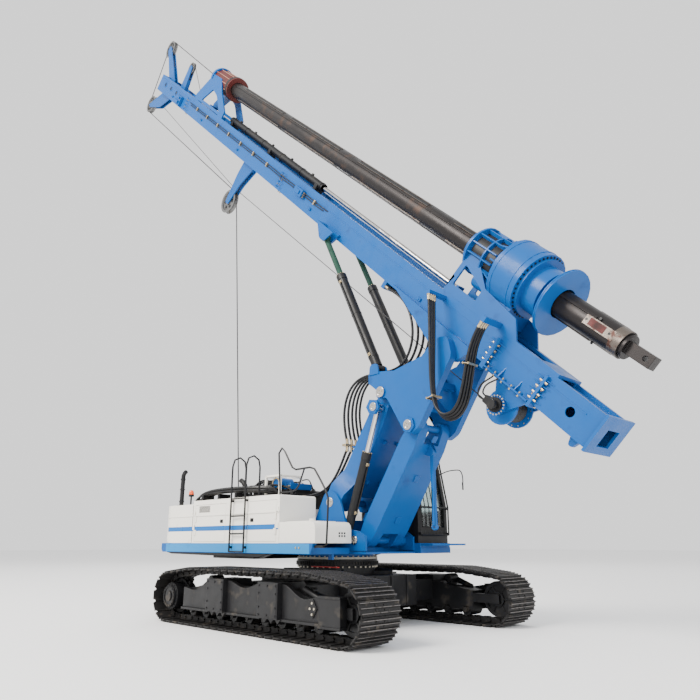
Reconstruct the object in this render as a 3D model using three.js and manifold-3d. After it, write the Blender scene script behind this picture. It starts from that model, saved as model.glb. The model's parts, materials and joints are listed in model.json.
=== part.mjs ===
// Rotary piling rig: crawler undercarriage, slewing upper, parallelogram boom, raking mast,
// rotary drive and telescopic kelly bar. Millimetres, +X forward, +Y to the left, +Z up.
import * as THREE from 'three';
import { mergeVertices } from 'three/addons/utils/BufferGeometryUtils.js';
import Module from 'manifold-3d';

const wasm = await Module();
wasm.setup();

// ---------------------------------------------------------------- clearances
const RUN = 0.6;        // face gap of a bearing, between pieces that turn against each other
const SEAT = 0.3;       // face gap of pieces that are fastened to each other
const MOVE = 5;         // gap between pieces that move past each other
const PIN_PLAY = 1.06;  // a pin hole is this many times as wide as its pin
const EPS = 1;          // how far joined pieces sink into each other

// ---------------------------------------------------------- driving dimensions
const TRACK = {
  gaugeHalf: 1772, shoeWidth: 800, chainWidth: 260, endX: 2330, endRadius: 440,
  kneeX: 1550, topZ: 970, grouser: 25, plate: 20, chain: 90, shoes: 57,
  retract: 650, beamX: 720, beamWidth: 440, beamHeight: 360, beamZ: 550,
  frameHalfWidth: 200, frameBottom: 240, frameTop: 700, frameEnd: 1850, coverDepth: 180,
};
const SLEW = { ringRadius: 740, baseRadius: 700, neckRadius: 690, ringBottom: 985, ringTop: 1100 };
const UPPER = {
  halfWidth: 1500, rear: -3800, front: 950, bottom: 1200, deck: 1300, skirtTop: 1372,
  skirtThick: 80, hoodTop: 2180, hoodFront: 140, hoodInner: 680, weightFront: -2630,
  panel: 40, doorTop: 2090, doorBottom: 1400,
};
const ENGINE = { rear: -2150, front: -850, halfWidth: 560, top: 1900 };
const TANK = { rear: 145, front: 1060, top: 1715, radius: 130 };
const KNUCKLE = { off: 14, radius: 12, height: 100, leafStart: 12, leaf: 60, lift: 4 };
const CAB_KNUCKLES = [1600, 2600];
const CAB = { rear: 20, doorRear: 420, front: 1400, width: 850, floor: 1372, roof: 2990, wall: 50,
  waist: 2000, lean: 190 };
const LINK = { bottomX: 460, bottomZ: 2070, topX: 1660, topZ: 3880, offsetX: 610, offsetZ: -650 };
const BOOM = { halfDepth: 200, footHalf: 560, boss: 150, pin: 60, plate: 40 };
const FRONT_LINK = { halfDepth: 170, slot: 190 };
const LUFF = { footX: 720, footZ: 1390, eyeX: 1540, eyeZ: 3630, barrel: 80, rod: 45, barrelLength: 1590,
  plate: 30, pin: 35 };
const TRIANGLE = { plate: 140, pivotX: 3000, pivotZ: 4400, cylinderX: 1500, cylinderZ: 4350 };
const MAST = {
  rake: 45.5, halfWidth: 330, depth: 470, wall: 20, railWidth: 65, railHeight: 60,
  pivotN: -660, pivotS: 2830, footJoint: 2110, midJoint: 9760, upperJoint: 16600, head: 19400,
  lugHalf: 400, footFlange: 1080,
};
const MAST_CYLINDER = { topN: -560, topS: 7030, barrel: 95, rod: 58, barrelLength: 2300, rodLength: 2150,
  pin: 38 };
const CROWD = { n: 170, barrel: 95, rod: 52, top: 14000, bottom: 8560 };
const DRIVE = {
  axisN: 920, bottom: 960, top: 3660, housingBottom: 2300, housingTop: 2860, housingRadius: 560,
  discRadius: 550, discBottom: 1770, sleevePlay: 8, sleeveWall: 49, borePlay: 12,
};
const KELLY = {
  tube: 212, wall: 26, stripRise: 19, collarWall: 93, bottom: 580, top: 15850, collarBottom: 14600,
    stub: 110, bar: 165,
};
const GUIDE = { bottom: 14050, top: 16280, plate: 40 };
const MAST_WINCH = { s: 1500, n: -820, flange: 280, drum: 180, halfWidth: 230 };
const STRUT = { x: 250, z: 1850, length: 1200, thick: 30 };
const MAIN_WINCH = { x: -2980, z: 2000, flange: 330, drum: 230, halfWidth: 560 };
const HOSE = { radius: 23, pitch: 58, count: 5, middle: -155, clampHalf: 145 };
const LOOP_HOSE = { count: 3, middle: -680, clampHalf: 95 };
const HOSE_BAR = { x: 650, z: 3080, depth: 80, height: 36 };
const HOSE_CLAMP = { rear: 1300, front: 1400, z: 4312, bottom: 4200, top: 4350 };
const MAST_CLAMP = { n: -560, depth: 620, bottom: 4950, top: 5040 };
const LOOP_TOP = { x: 2940, bottom: 5290, top: 5350, halfDepth: 40 };
const LOOP_END = { n: 110, depth: 200, bottom: 2240, top: 2320 };
const SHEAVES = {
  sheave_main: { s: 20530, n: 850, radius: 300, thick: 90 },
  sheave_aux: { s: 18220, n: 700, radius: 210, thick: 70 },
  sheave_rear: { s: 20160, n: -1090, radius: 300, thick: 90 },
  sheave_guide: { s: 12130, n: -1640, radius: 330, thick: 90 },
};

// ------------------------------------------------------------- derived places
// inner face of the triangle's sides
const CLEAR_HALF = MAST.lugHalf + 10;
const TRIANGLE_OUT = CLEAR_HALF + TRIANGLE.plate;
const BOOM_HALF = CLEAR_HALF - MOVE * 2;
const LUFF_Y = BOOM_HALF + 20 + LUFF.barrel;
const EAR_IN = LUFF_Y + LUFF.barrel + MOVE;
const EAR_OUT = EAR_IN + LUFF.plate;
const CHEEK_IN = Math.max(EAR_IN, BOOM.footHalf + MOVE);
const CHEEK_OUT = CHEEK_IN + BOOM.plate;
const CAB_RIGHT = Math.max(EAR_OUT, CHEEK_OUT) + 25;
const CAB_LEFT = CAB_RIGHT + CAB.width;
const KELLY_STRIP = KELLY.tube + KELLY.stripRise;
const COLLAR = KELLY.tube + KELLY.collarWall;
const SLEEVE_BORE = KELLY_STRIP + DRIVE.sleevePlay;
const SLEEVE = SLEEVE_BORE + DRIVE.sleeveWall;
const MAST_CYLINDER_Y = MAST.halfWidth + 15 + MAST_CYLINDER.barrel;
const LINK_LENGTH = Math.hypot(LINK.topX - LINK.bottomX, LINK.topZ - LINK.bottomZ);
const LINK_ANGLE = Math.atan2(LINK.topX - LINK.bottomX, LINK.topZ - LINK.bottomZ);
const CHAIN_INSET = TRACK.grouser + TRACK.plate + TRACK.chain;
const CHEEK_REAR = -540;
const DECK_FRONT = -700;
const SLEEVE_END = TRACK.gaugeHalf - TRACK.retract - TRACK.frameHalfWidth - 70;

const RAKE = THREE.MathUtils.degToRad(MAST.rake);

// Side-view points of the whole machine at rest, seen in the boom's and in the mast's own frame, and back.
function inBoom(x, z) {
  const dx = x - LINK.bottomX;
  const dz = z - LINK.bottomZ;
  return [dx * Math.cos(LINK_ANGLE) - dz * Math.sin(LINK_ANGLE),
    dx * Math.sin(LINK_ANGLE) + dz * Math.cos(LINK_ANGLE)];
}

function fromMast(n, s) {
  const dn = n - MAST.pivotN;
  const ds = s - MAST.pivotS;
  return [TRIANGLE.pivotX + dn * Math.cos(RAKE) - ds * Math.sin(RAKE),
    TRIANGLE.pivotZ + dn * Math.sin(RAKE) + ds * Math.cos(RAKE)];
}

function inMast(x, z) {
  const dx = x - TRIANGLE.pivotX;
  const dz = z - TRIANGLE.pivotZ;
  return [MAST.pivotN + dx * Math.cos(RAKE) + dz * Math.sin(RAKE),
    MAST.pivotS - dx * Math.sin(RAKE) + dz * Math.cos(RAKE)];
}

// ------------------------------------------------------------------- finishes
const paint = (color, roughness, metalness) => () => new THREE.MeshStandardMaterial({ color, roughness,
  metalness });
const BLUE = paint(0x0a6fd0, 0.35, 0.1);
const WHITE = paint(0xeeeae0, 0.4, 0.05);
const BLACK = paint(0x1b1c1e, 0.6, 0.2);
const STEEL = paint(0x4a4643, 0.5, 0.7);
const CHROME = paint(0xc8ccd0, 0.15, 1);
const GREEN = paint(0x3c5540, 0.8, 0);
const RUST = paint(0x6b2a22, 0.7, 0.2);
const RUBBER = paint(0x101010, 0.8, 0);

// ------------------------------------------------------------- solid modelling
function solidOf(geometry) {
  const bare = geometry.index ? geometry : geometry.clone();
  bare.deleteAttribute('normal');
  bare.deleteAttribute('uv');
  const merged = mergeVertices(bare, 1e-4);
  return new wasm.Manifold(new wasm.Mesh({
    numProp: 3,
    vertProperties: new Float32Array(merged.attributes.position.array),
    triVerts: new Uint32Array(merged.index.array),
  }));
}

function geometryOf(solid) {
  const { vertProperties, triVerts } = solid.getMesh();
  const geometry = new THREE.BufferGeometry();
  geometry.setAttribute('position', new THREE.BufferAttribute(new Float32Array(vertProperties), 3));
  geometry.setIndex(new THREE.BufferAttribute(new Uint32Array(triVerts), 1));
  geometry.computeVertexNormals();
  return geometry;
}

const join = (...solids) => solids.flat().reduce((whole, piece) => whole.add(piece));
const cut = (body, ...tools) => tools.flat().reduce((rest, tool) => rest.subtract(tool), body);
const both = (make) => [1, -1].map((side) => make(side));

function block(x0, x1, y0, y1, z0, z1) {
  const geometry = new THREE.BoxGeometry(Math.abs(x1 - x0), Math.abs(y1 - y0), Math.abs(z1 - z0));
  return solidOf(geometry.translate((x0 + x1) / 2, (y0 + y1) / 2, (z0 + z1) / 2));
}

// A round bar along an axis; a and b are its place across that axis, in X, Y, Z order.
function round(axis, radius, from, to, a, b, sides = 16) {
  const geometry = new THREE.CylinderGeometry(radius, radius, Math.abs(to - from), sides);
  const middle = (from + to) / 2;
  if (axis === 'x') return solidOf(geometry.rotateZ(Math.PI / 2).translate(middle, a, b));
  if (axis === 'y') return solidOf(geometry.translate(a, middle, b));
  return solidOf(geometry.rotateX(Math.PI / 2).translate(a, b, middle));
}

// An outline of [u, v] points, or [u, v, fillet radius] for a rounded corner.
function outline(points) {
  const shape = new THREE.Shape();
  points.forEach((point, i) => {
    const corner = new THREE.Vector2(point[0], point[1]);
    if (!point[2]) {
      if (i === 0) shape.moveTo(corner.x, corner.y);
      else shape.lineTo(corner.x, corner.y);
      return;
    }
    const before = points[(i + points.length - 1) % points.length];
    const after = points[(i + 1) % points.length];
    const back = new THREE.Vector2(before[0], before[1]).sub(corner);
    const ahead = new THREE.Vector2(after[0], after[1]).sub(corner);
    const fillet = Math.min(point[2], back.length() * 0.45, ahead.length() * 0.45);
    const start = back.setLength(fillet).add(corner);
    const end = ahead.setLength(fillet).add(corner);
    if (i === 0) shape.moveTo(start.x, start.y);
    else shape.lineTo(start.x, start.y);
    shape.quadraticCurveTo(corner.x, corner.y, end.x, end.y);
  });
  shape.closePath();
  return shape;
}

const extrude = (shape, depth) => new THREE.ExtrudeGeometry(shape,
  { depth, bevelEnabled: false, curveSegments: 3 });

// Outlines in the side (X, Z), plan (X, Y) and front (Y, Z) views, made thick across the view.
const sidePlate = (points, y0, y1) => solidOf(extrude(outline(points),
  y1 - y0).rotateX(Math.PI / 2).translate(0, y1, 0));
const planPlate = (points, z0, z1) => solidOf(extrude(outline(points), z1 - z0).translate(0, 0, z0));
function frontPlate(points, x0, x1) {
  const turn = new THREE.Matrix4().makeBasis(
    new THREE.Vector3(0, 1, 0), new THREE.Vector3(0, 0, 1), new THREE.Vector3(1, 0, 0));
  return solidOf(extrude(outline(points), x1 - x0).applyMatrix4(turn).translate(x0, 0, 0));
}

const ordered = (a, b) => [Math.min(a, b), Math.max(a, b)];
const sidePair = (points, inner, outer) => both((s) => sidePlate(points, ...ordered(s * inner, s * outer)));
const roundPair = (radius, inner, outer, x, z, sides) => both((s) => round('y', radius, s * inner, s * outer,
  x, z, sides));

// A bent bar through points, round in section.
function bar(points, radius, steps = 24, sides = 6, tension = 0.15) {
  const curve = new THREE.CatmullRomCurve3(points.map((p) => new THREE.Vector3(...p)), false, 'catmullrom',
    tension);
  const section = new THREE.Shape(
    Array.from({ length: sides }, (_, i) => {
      const angle = (i / sides) * 2 * Math.PI;
      return new THREE.Vector2(radius * Math.cos(angle), radius * Math.sin(angle));
    }));
  return solidOf(new THREE.ExtrudeGeometry(section, { steps, extrudePath: curve, bevelEnabled: false }));
}

// A straight round bar between two points.
function strut(from, to, radius, sides = 10) {
  const a = new THREE.Vector3(...from);
  const b = new THREE.Vector3(...to);
  const geometry = new THREE.CylinderGeometry(radius, radius, a.distanceTo(b), sides);
  const turn = new THREE.Quaternion().setFromUnitVectors(new THREE.Vector3(0, 1, 0),
    b.clone().sub(a).normalize());
  return solidOf(geometry.applyQuaternion(turn).translate((a.x + b.x) / 2, (a.y + b.y) / 2, (a.z + b.z) / 2));
}

// -------------------------------------------------------------- scene building
const rig = new THREE.Group();

function place(parent, name, x, z, tilt = 0, y = 0) {
  const group = new THREE.Group();
  group.name = name;
  group.position.set(x, y, z);
  group.rotation.y = tilt;
  parent.add(group);
  return group;
}

function add(parent, name, solid, finish) {
  const mesh = new THREE.Mesh(geometryOf(solid), finish());
  mesh.name = name;
  parent.add(mesh);
  return mesh;
}

// --------------------------------------------------------------- undercarriage
// The closed line of the track, moved in from the grouser tips by inset.
function trackLine(inset) {
  const radius = TRACK.endRadius - inset;
  const top = TRACK.topZ - inset;
  const run = TRACK.endX - TRACK.kneeX;
  const rise = top - TRACK.endRadius;
  const lean = Math.acos(radius / Math.hypot(run, rise)) + Math.atan2(-rise, run) * -1;
  const line = new THREE.Path();
  line.moveTo(-TRACK.endX, inset);
  line.lineTo(TRACK.endX, inset);
  line.absarc(TRACK.endX, TRACK.endRadius, radius, -Math.PI / 2, Math.PI - lean, false);
  line.lineTo(TRACK.kneeX, top);
  line.lineTo(-TRACK.kneeX, top);
  line.absarc(-TRACK.endX, TRACK.endRadius, radius, lean, 1.5 * Math.PI, false);
  return line;
}

function trackLoop() {
  const line = trackLine(TRACK.grouser);
  const steps = [[0.36, 0], [0.5, 1], [0.64, 0]];
  const tips = [];
  for (let shoe = 0; shoe < TRACK.shoes; shoe += 1) {
    for (const [share, raised] of steps) {
      const at = Math.min((shoe + share) / TRACK.shoes, 1);
      const point = line.getPointAt(at);
      const tangent = line.getTangentAt(at);
      const lift = raised * TRACK.grouser;
      tips.push([point.x + tangent.y * lift, Math.max(point.y - tangent.x * lift, 0)]);
    }
  }
  const inner = (inset) => trackLine(inset).getPoints(8).map((p) => [p.x, p.y]);
  const half = TRACK.shoeWidth / 2;
  const chain = TRACK.chainWidth / 2;
  const shoes = cut(sidePlate(tips, -half, half),
    sidePlate(inner(TRACK.grouser + TRACK.plate), -half - EPS, half + EPS));
  const links = cut(sidePlate(inner(TRACK.grouser + TRACK.plate - EPS), -chain, chain),
    sidePlate(inner(CHAIN_INSET), -chain - EPS, chain + EPS));
  return join(shoes, links);
}

function trackFrame(side) {
  const half = TRACK.frameHalfWidth;
  const outY = (y) => side * y;
  const beam = sidePlate([
    [-TRACK.frameEnd, TRACK.frameBottom], [TRACK.frameEnd, TRACK.frameBottom],
    [TRACK.frameEnd, 560], [1300, TRACK.frameTop - 60], [1100, TRACK.frameTop], [-1200, TRACK.frameTop],
    [-1500, 640], [-TRACK.frameEnd, 600],
  ], -half, half);
  const coverHalf = TRACK.beamWidth / 2 + 30;
  const parts = [beam];
  for (const x of [-TRACK.beamX, TRACK.beamX]) {
    parts.push(block(x - coverHalf, x + coverHalf, outY(-half), outY(half + TRACK.coverDepth), 280, 800));
    parts.push(block(x - TRACK.beamWidth / 2, x + TRACK.beamWidth / 2, outY(-half + EPS),
      outY(-TRACK.gaugeHalf + TRACK.retract + 15), TRACK.beamZ - TRACK.beamHeight / 2,
        TRACK.beamZ + TRACK.beamHeight / 2));
  }
  const rollerTop = TRACK.frameBottom + 2;
  const rollerRadius = rollerTop - CHAIN_INSET - SEAT;
  for (let i = 0; i < 9; i += 1) {
    parts.push(round('y', rollerRadius, -170, 170, -1680 + i * 420, rollerTop, 10));
  }
  for (const x of [-1250, 1250]) {
    parts.push(block(x - 50, x + 50, -90, 90, 600, 770));
    parts.push(round('y', 75, -120, 120, x, TRACK.topZ - CHAIN_INSET - 78, 12));
  }
  // Front idler between its two yoke plates.
  const idlerRadius = TRACK.endRadius - CHAIN_INSET - 6;
  for (const y of [-1, 1]) parts.push(block(TRACK.frameEnd - EPS, TRACK.endX + 60, y * 140, y * half, 370,
    520));
  parts.push(round('y', 70, -150, 150, TRACK.endX, TRACK.endRadius, 12));
  parts.push(round('y', idlerRadius, -110, 110, TRACK.endX, TRACK.endRadius, 28));
  // Rear bracket that carries the final drive, on the inner side.
  parts.push(sidePlate([
    [-TRACK.frameEnd + EPS, 260], [-TRACK.frameEnd + EPS, 600], [-TRACK.endX - 40, 560],
      [-TRACK.endX - 40, 320],
  ], ...ordered(outY(-half), outY(-150))));
  return join(parts);
}

function sprocket(side) {
  const radius = TRACK.endRadius - CHAIN_INSET - 6;
  const at = (y) => side * y;
  const parts = [
    round('y', radius, at(-60), at(60), -TRACK.endX, TRACK.endRadius, 26),
    round('y', 235, at(-150 + SEAT), at(260), -TRACK.endX, TRACK.endRadius, 24),
    round('y', 190, at(250), at(300), -TRACK.endX, TRACK.endRadius, 24),
  ];
  return join(parts);
}

function carBody() {
  const sleeve = TRACK.beamWidth / 2 + MOVE;
  const reach = SLEEVE_END;
  const high = TRACK.beamHeight / 2 + MOVE;
  const hull = planPlate([
    [-1150, -reach], [1150, -reach], [1150, reach], [-1150, reach],
  ], 330, 840);
  const neck = round('z', SLEW.baseRadius, 830, SLEW.ringBottom + EPS, 0, 0, 28);
  const ring = round('z', SLEW.ringRadius, SLEW.ringBottom, SLEW.ringTop, 0, 0, 28);
  const gussets = [0, 1, 2, 3].map((i) => {
    const angle = (i + 0.5) * Math.PI / 2;
    return strut([0, 0, 850], [1150 * Math.cos(angle), 850 * Math.sin(angle), 850], 90, 6);
  });
  const tunnels = [-TRACK.beamX, TRACK.beamX].map((x) => block(x - sleeve, x + sleeve,
    -reach - EPS, reach + EPS, TRACK.beamZ - high, TRACK.beamZ + high));
  const beamTop = TRACK.beamZ + TRACK.beamHeight / 2;
  const strips = [-TRACK.beamX, TRACK.beamX].map((x) => block(x - 80, x + 80, -reach, reach, beamTop + RUN,
    beamTop + MOVE + EPS));
  return join(cut(join(hull, neck, ring, gussets), tunnels, round('z', 300, 700, 1200, 0, 0, 20)), strips);
}

function undercarriage() {
  add(rig, 'car_body', carBody(), BLACK);
  for (const [name, side] of [['right', -1], ['left', 1]]) {
    const group = place(rig, `slide_track_${name}`, 0, 0, 0, side * TRACK.gaugeHalf);
    add(group, `track_frame_${name}`, trackFrame(side), BLACK);
    add(group, `track_${name}`, trackLoop(), STEEL);
    add(group, `final_drive_${name}`, sprocket(side), BLACK);
  }
}

// ------------------------------------------------------------------ upper body
function upperFrame() {
  const w = UPPER.halfWidth;
  const cabEnd = CAB.front + 60;
  const deck = planPlate([
    [UPPER.rear + 60, -w + 40], [UPPER.front, -w + 40], [UPPER.front, CHEEK_OUT + 5], [cabEnd, CHEEK_OUT + 5],
    [cabEnd, w - 10], [UPPER.rear + 60, w - 10],
  ], UPPER.bottom, UPPER.deck);
  const skirt = (side, front) => sidePlate([
    [UPPER.rear + 10, UPPER.bottom + 60], [UPPER.rear + 60, UPPER.bottom], [front, UPPER.bottom],
    [front + 60, UPPER.skirtTop - 20], [front + 60, UPPER.skirtTop], [UPPER.rear + 10, UPPER.skirtTop],
  ], ...ordered(side * (w - UPPER.skirtThick), side * w));
  const walkway = planPlate([
    [CAB.front - 40, CHEEK_OUT + 20], [1720, CHEEK_OUT + 20], [1880, 900], [1880, w - 60, 80],
      [CAB.front - 40, w - 60],
  ], 1335, 1365);
  const riser = block(CAB.rear - 40, CAB.front + 50, CHEEK_OUT + 5, w - 10, UPPER.deck - EPS,
    CAB.floor - SEAT);
  const bearing = round('z', SLEW.neckRadius, SLEW.ringTop + RUN, UPPER.bottom + EPS, 0, 0, 28);
  const bearingHoles = round('z', 300, SLEW.ringTop - 10, UPPER.bottom - 30, 0, 0, 20);
  const cheekShape = [
    [CHEEK_REAR, UPPER.deck - 50], [1330, UPPER.deck - 50], [1330, 1480], [1200, 1560, 60], [900, 1600],
      [700, 2120, 80],
    [560, 2260, 90], [330, 2250, 90], [60, 1750], [CHEEK_REAR, 1420],
  ];
  const cheeks = sidePair(cheekShape, CHEEK_IN, CHEEK_OUT);
  const cross = block(-200, 160, -CHEEK_IN - EPS, CHEEK_IN + EPS, UPPER.deck - EPS, 1780);
  const noseFloor = block(UPPER.front - EPS, 1330, -CHEEK_OUT, CHEEK_OUT, UPPER.bottom, UPPER.deck - 70);
  const boomPin = round('y', BOOM.pin, -CHEEK_IN - EPS, CHEEK_IN + EPS, LINK.bottomX, LINK.bottomZ, 16);
  const linkX = LINK.bottomX + LINK.offsetX;
  const linkZ = LINK.bottomZ + LINK.offsetZ;
  const linkPin = round('y', BOOM.pin, -CHEEK_IN - EPS, CHEEK_IN + EPS, linkX, linkZ, 16);
  const lugOut = LUFF_Y - LUFF.barrel - MOVE;
  const luffPins = roundPair(LUFF.pin, lugOut - EPS, CHEEK_IN + EPS, LUFF.footX, LUFF.footZ, 12);
  const luffLugs = sidePair([
    [LUFF.footX - 150, UPPER.deck - EPS], [LUFF.footX + 100, UPPER.deck - EPS],
      [LUFF.footX + 90, LUFF.footZ + 60, 40],
    [LUFF.footX - 90, LUFF.footZ + 60, 40],
  ], lugOut - 35, lugOut);
  const towLug = block(UPPER.front - 120, UPPER.front - 20, -1000, -960, 1110, UPPER.bottom + EPS);
  const winchSide = both((s) => sidePlate([
    [MAIN_WINCH.x - 260, UPPER.deck - EPS], [MAIN_WINCH.x + 260, UPPER.deck - EPS],
      [MAIN_WINCH.x + 170, MAIN_WINCH.z + 120, 90],
    [MAIN_WINCH.x - 170, MAIN_WINCH.z + 120, 90],
  ], ...ordered(s * (MAIN_WINCH.halfWidth + RUN), s * (MAIN_WINCH.halfWidth + 50))));
  const whole = join(deck, skirt(-1, UPPER.front), skirt(1, UPPER.front), walkway, riser, bearing, cheeks,
    cross,
    noseFloor, boomPin, linkPin, luffLugs, luffPins, towLug, winchSide);
  return cut(whole, bearingHoles);
}

function counterweight() {
  const w = UPPER.halfWidth;
  const slab = planPlate([
    [UPPER.weightFront - SEAT, -w], [UPPER.weightFront - SEAT, w], [UPPER.rear, w, 320],
      [UPPER.rear, -w, 320],
  ], UPPER.skirtTop + SEAT, UPPER.hoodTop - 60);
  const recess = block(-3500, UPPER.weightFront + 10, -MAIN_WINCH.halfWidth - 60, MAIN_WINCH.halfWidth + 60,
    1250, 2400);
  return cut(slab, recess);
}

function engineHousing() {
  const w = UPPER.halfWidth;
  const p = UPPER.panel;
  const base = UPPER.skirtTop + SEAT;
  const rear = UPPER.weightFront + SEAT;
  const hood = (s, front) => {
    const outer = sidePlate([
      [rear, base], [front, base], [front, UPPER.hoodTop, 60], [rear, UPPER.hoodTop],
    ], ...ordered(s * UPPER.hoodInner, s * w));
    const inside = block(rear + p, front - p, s * (UPPER.hoodInner + p), s * (w - p), base - 10,
      UPPER.hoodTop - p);
    return cut(outer, inside);
  };
  const leftFront = CAB.rear - 60;
  const bulkheadX = CHEEK_REAR - 60;
  const roof = block(rear, bulkheadX + 40, -UPPER.hoodInner - EPS, UPPER.hoodInner + EPS, 1960, 2000);
  const bulkhead = block(bulkheadX, bulkheadX + 40, -UPPER.hoodInner - EPS, UPPER.hoodInner + EPS, base,
    1970);
  const doorway = (s, x0, x1) => block(x0 - MOVE, x1 + MOVE, s * (w - p - EPS), s * (w + EPS),
    UPPER.doorBottom - MOVE, UPPER.doorTop + MOVE);
  const shell = cut(join(hood(-1, UPPER.hoodFront), hood(1, leftFront), roof, bulkhead),
    DOORS.map((door) => doorway(door.side, door.x0, door.x1)));
  const knuckles = DOORS.flatMap((door) => {
    const away = door.hinge === door.x0 ? -1 : 1;
    const line = door.side * (w + KNUCKLE.off);
    return DOOR_KNUCKLES.map((z) => knuckle(door.hinge, line, door.side, away, z + KNUCKLE.height + RUN));
  });
  return join(shell, knuckles);
}

// Half a hinge: a round knuckle on the hinge line and the leaf that holds it to the sheet behind.
function knuckle(x, line, side, away, z) {
  const leaf = block(x + away * KNUCKLE.leafStart, x + away * KNUCKLE.leaf, line,
    line - side * (KNUCKLE.off + EPS),
    z, z + KNUCKLE.height);
  const reach = block(x, x + away * (KNUCKLE.leafStart + EPS), line - side * KNUCKLE.lift, line, z,
    z + KNUCKLE.height);
  return join(round('z', KNUCKLE.radius, z, z + KNUCKLE.height, x, line, 10), leaf, reach);
}

const DOOR_KNUCKLES = [UPPER.doorBottom + 120, UPPER.doorTop - 320];
const DOORS = [
  { name: 'service_door_right_rear', side: -1, x0: -2540, x1: -1480, hinge: -2540 },
  { name: 'service_door_right_front', side: -1, x0: -760, x1: 60, hinge: 60 },
  { name: 'service_door_left', side: 1, x0: -2540, x1: -1480, hinge: -2540 },
];

function serviceDoor(door) {
  const outer = door.side * UPPER.halfWidth;
  const inner = door.side * (UPPER.halfWidth - UPPER.panel);
  const away = door.hinge === door.x0 ? -1 : 1;
  const panel = block(door.x0, door.x1, inner, outer, UPPER.doorBottom, UPPER.doorTop);
  const line = outer + door.side * KNUCKLE.off;
  const knuckles = DOOR_KNUCKLES.map((z) => knuckle(door.hinge, line, door.side, -away, z));
  return join(panel, knuckles);
}

function fuelTank() {
  const base = UPPER.skirtTop + SEAT;
  return sidePlate([
    [TANK.rear, base], [TANK.front, base], [TANK.front, TANK.top, TANK.radius], [TANK.rear, TANK.top],
  ], -UPPER.halfWidth, -UPPER.hoodInner - 5);
}

function ladder() {
  const x0 = -1230;
  const x1 = -790;
  const y = -UPPER.halfWidth - 60;
  const rung = 14;
  const parts = [];
  for (const x of [x0, x1]) parts.push(strut([x, y, 1215], [x, y, 2260], 18, 6));
  for (let i = 0; i < 4; i += 1) parts.push(strut([x0, y, 1225 + i * 310], [x1, y, 1225 + i * 310], rung, 6));
  for (const x of [x0, x1]) {
    for (const z of [1300, 2120]) parts.push(block(x - 15, x + 15, y, -UPPER.halfWidth - SEAT, z - 20,
      z + 20));
    const inward = [x, -UPPER.halfWidth + 240];
    parts.push(bar([[x, y, 2200], [x, y, 2780], [x, y + 80, 2920], [inward[0], inward[1] - 80, 2920],
      [...inward, 2780], [...inward, UPPER.hoodTop + SEAT]], 17, 12, 5, 0.3));
  }
  return join(parts);
}

function handrail() {
  const y = -UPPER.halfWidth + 60;
  const z = UPPER.hoodTop + RUN;
  const foot = TANK.front + 145;
  const front = bar([[60, y, z], [58, y, z + 80], [0, y, 2900], [110, y, 2990], [420, y, 2580],
    [930, y, 2580],
    [foot + 90, y, 2100], [foot + 60, y, 1330], [foot - 40, y, 1320]], 17, 28, 5, 0.1);
  const brace = bar([[700, y, 2580], [560, y, 2300], [440, y, 2215], [60, y, 2215]], 15, 8, 5, 0.2);
  const bracket = block(UPPER.front + 60 + SEAT, foot, y - 20, y + 20, 1300, 1340);
  return join(front, brace, bracket);
}

function exhaust() {
  const base = UPPER.hoodTop - 60 + SEAT;
  return bar([[-3420, -1320, base], [-3420, -1320, 2700], [-3400, -1320, 2790], [-3320, -1320, 2830]], 45,
    12, 12, 0.3);
}

function hydraulicDeck() {
  const base = 2000 + SEAT;
  return join(block(-2350, -650, -560, 560, base, 2150), block(-2200, -1500, -480, 420, 2140, 2330),
    block(-1350, -900, -500, 480, 2140, 2380), block(DECK_FRONT - 100, DECK_FRONT, -450, 450, 2100, 2300));
}

function winchDrum(half, drum, flange, sides = 24) {
  return join(round('y', drum, -half, half, 0, 0, sides),
    both((s) => round('y', flange, s * half, s * (half - 35), 0, 0, sides)));
}

function cabShell() {
  const { front, rear, floor, roof, wall, waist, lean } = CAB;
  const profile = (inset) => [
    [rear + inset, floor + inset], [front - inset, floor + inset], [front - inset, waist],
    [front - lean - inset, roof - inset], [rear + inset, roof - inset],
  ];
  const shell = cut(sidePlate(profile(0), CAB_RIGHT, CAB_LEFT),
    sidePlate(profile(wall), CAB_RIGHT + wall, CAB_LEFT - wall));
  const windscreen = block(front - lean - 200, front + 50, CAB_RIGHT + 90, CAB_LEFT - 90, waist - 350,
    roof - 150);
  const keepRoof = windscreen.subtract(block(rear, front - lean - wall - 60, CAB_RIGHT, CAB_LEFT, floor,
    roof));
  const rightWindow = sidePlate([
    [rear + 150, 2050], [front - 170, 2050], [front - lean - 130, roof - 160], [rear + 150, roof - 160],
  ], CAB_RIGHT - 10, CAB_RIGHT + wall + 10);
  const rearWindow = block(rear - 10, rear + wall + 10, CAB_RIGHT + 110, CAB_LEFT - 110, 2200, roof - 200);
  const doorway = sidePlate(doorShape(-MOVE), CAB_LEFT - wall - 10, CAB_LEFT + 10);
  const knuckles = CAB_KNUCKLES.map((z) => knuckle(CAB.doorRear, CAB_LEFT + KNUCKLE.off, 1, -1,
    z + KNUCKLE.height + RUN));
  return join(cut(shell, keepRoof, rightWindow, rearWindow, doorway), knuckles);
}

const doorShape = (inset) => [
  [CAB.doorRear + inset, CAB.floor + 70 + inset], [CAB.front - 80 - inset, CAB.floor + 70 + inset],
  [CAB.front - 80 - inset, CAB.waist], [CAB.front - CAB.lean - 60 - inset, CAB.roof - 90 - inset],
  [CAB.doorRear + inset, CAB.roof - 90 - inset],
];

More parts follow.
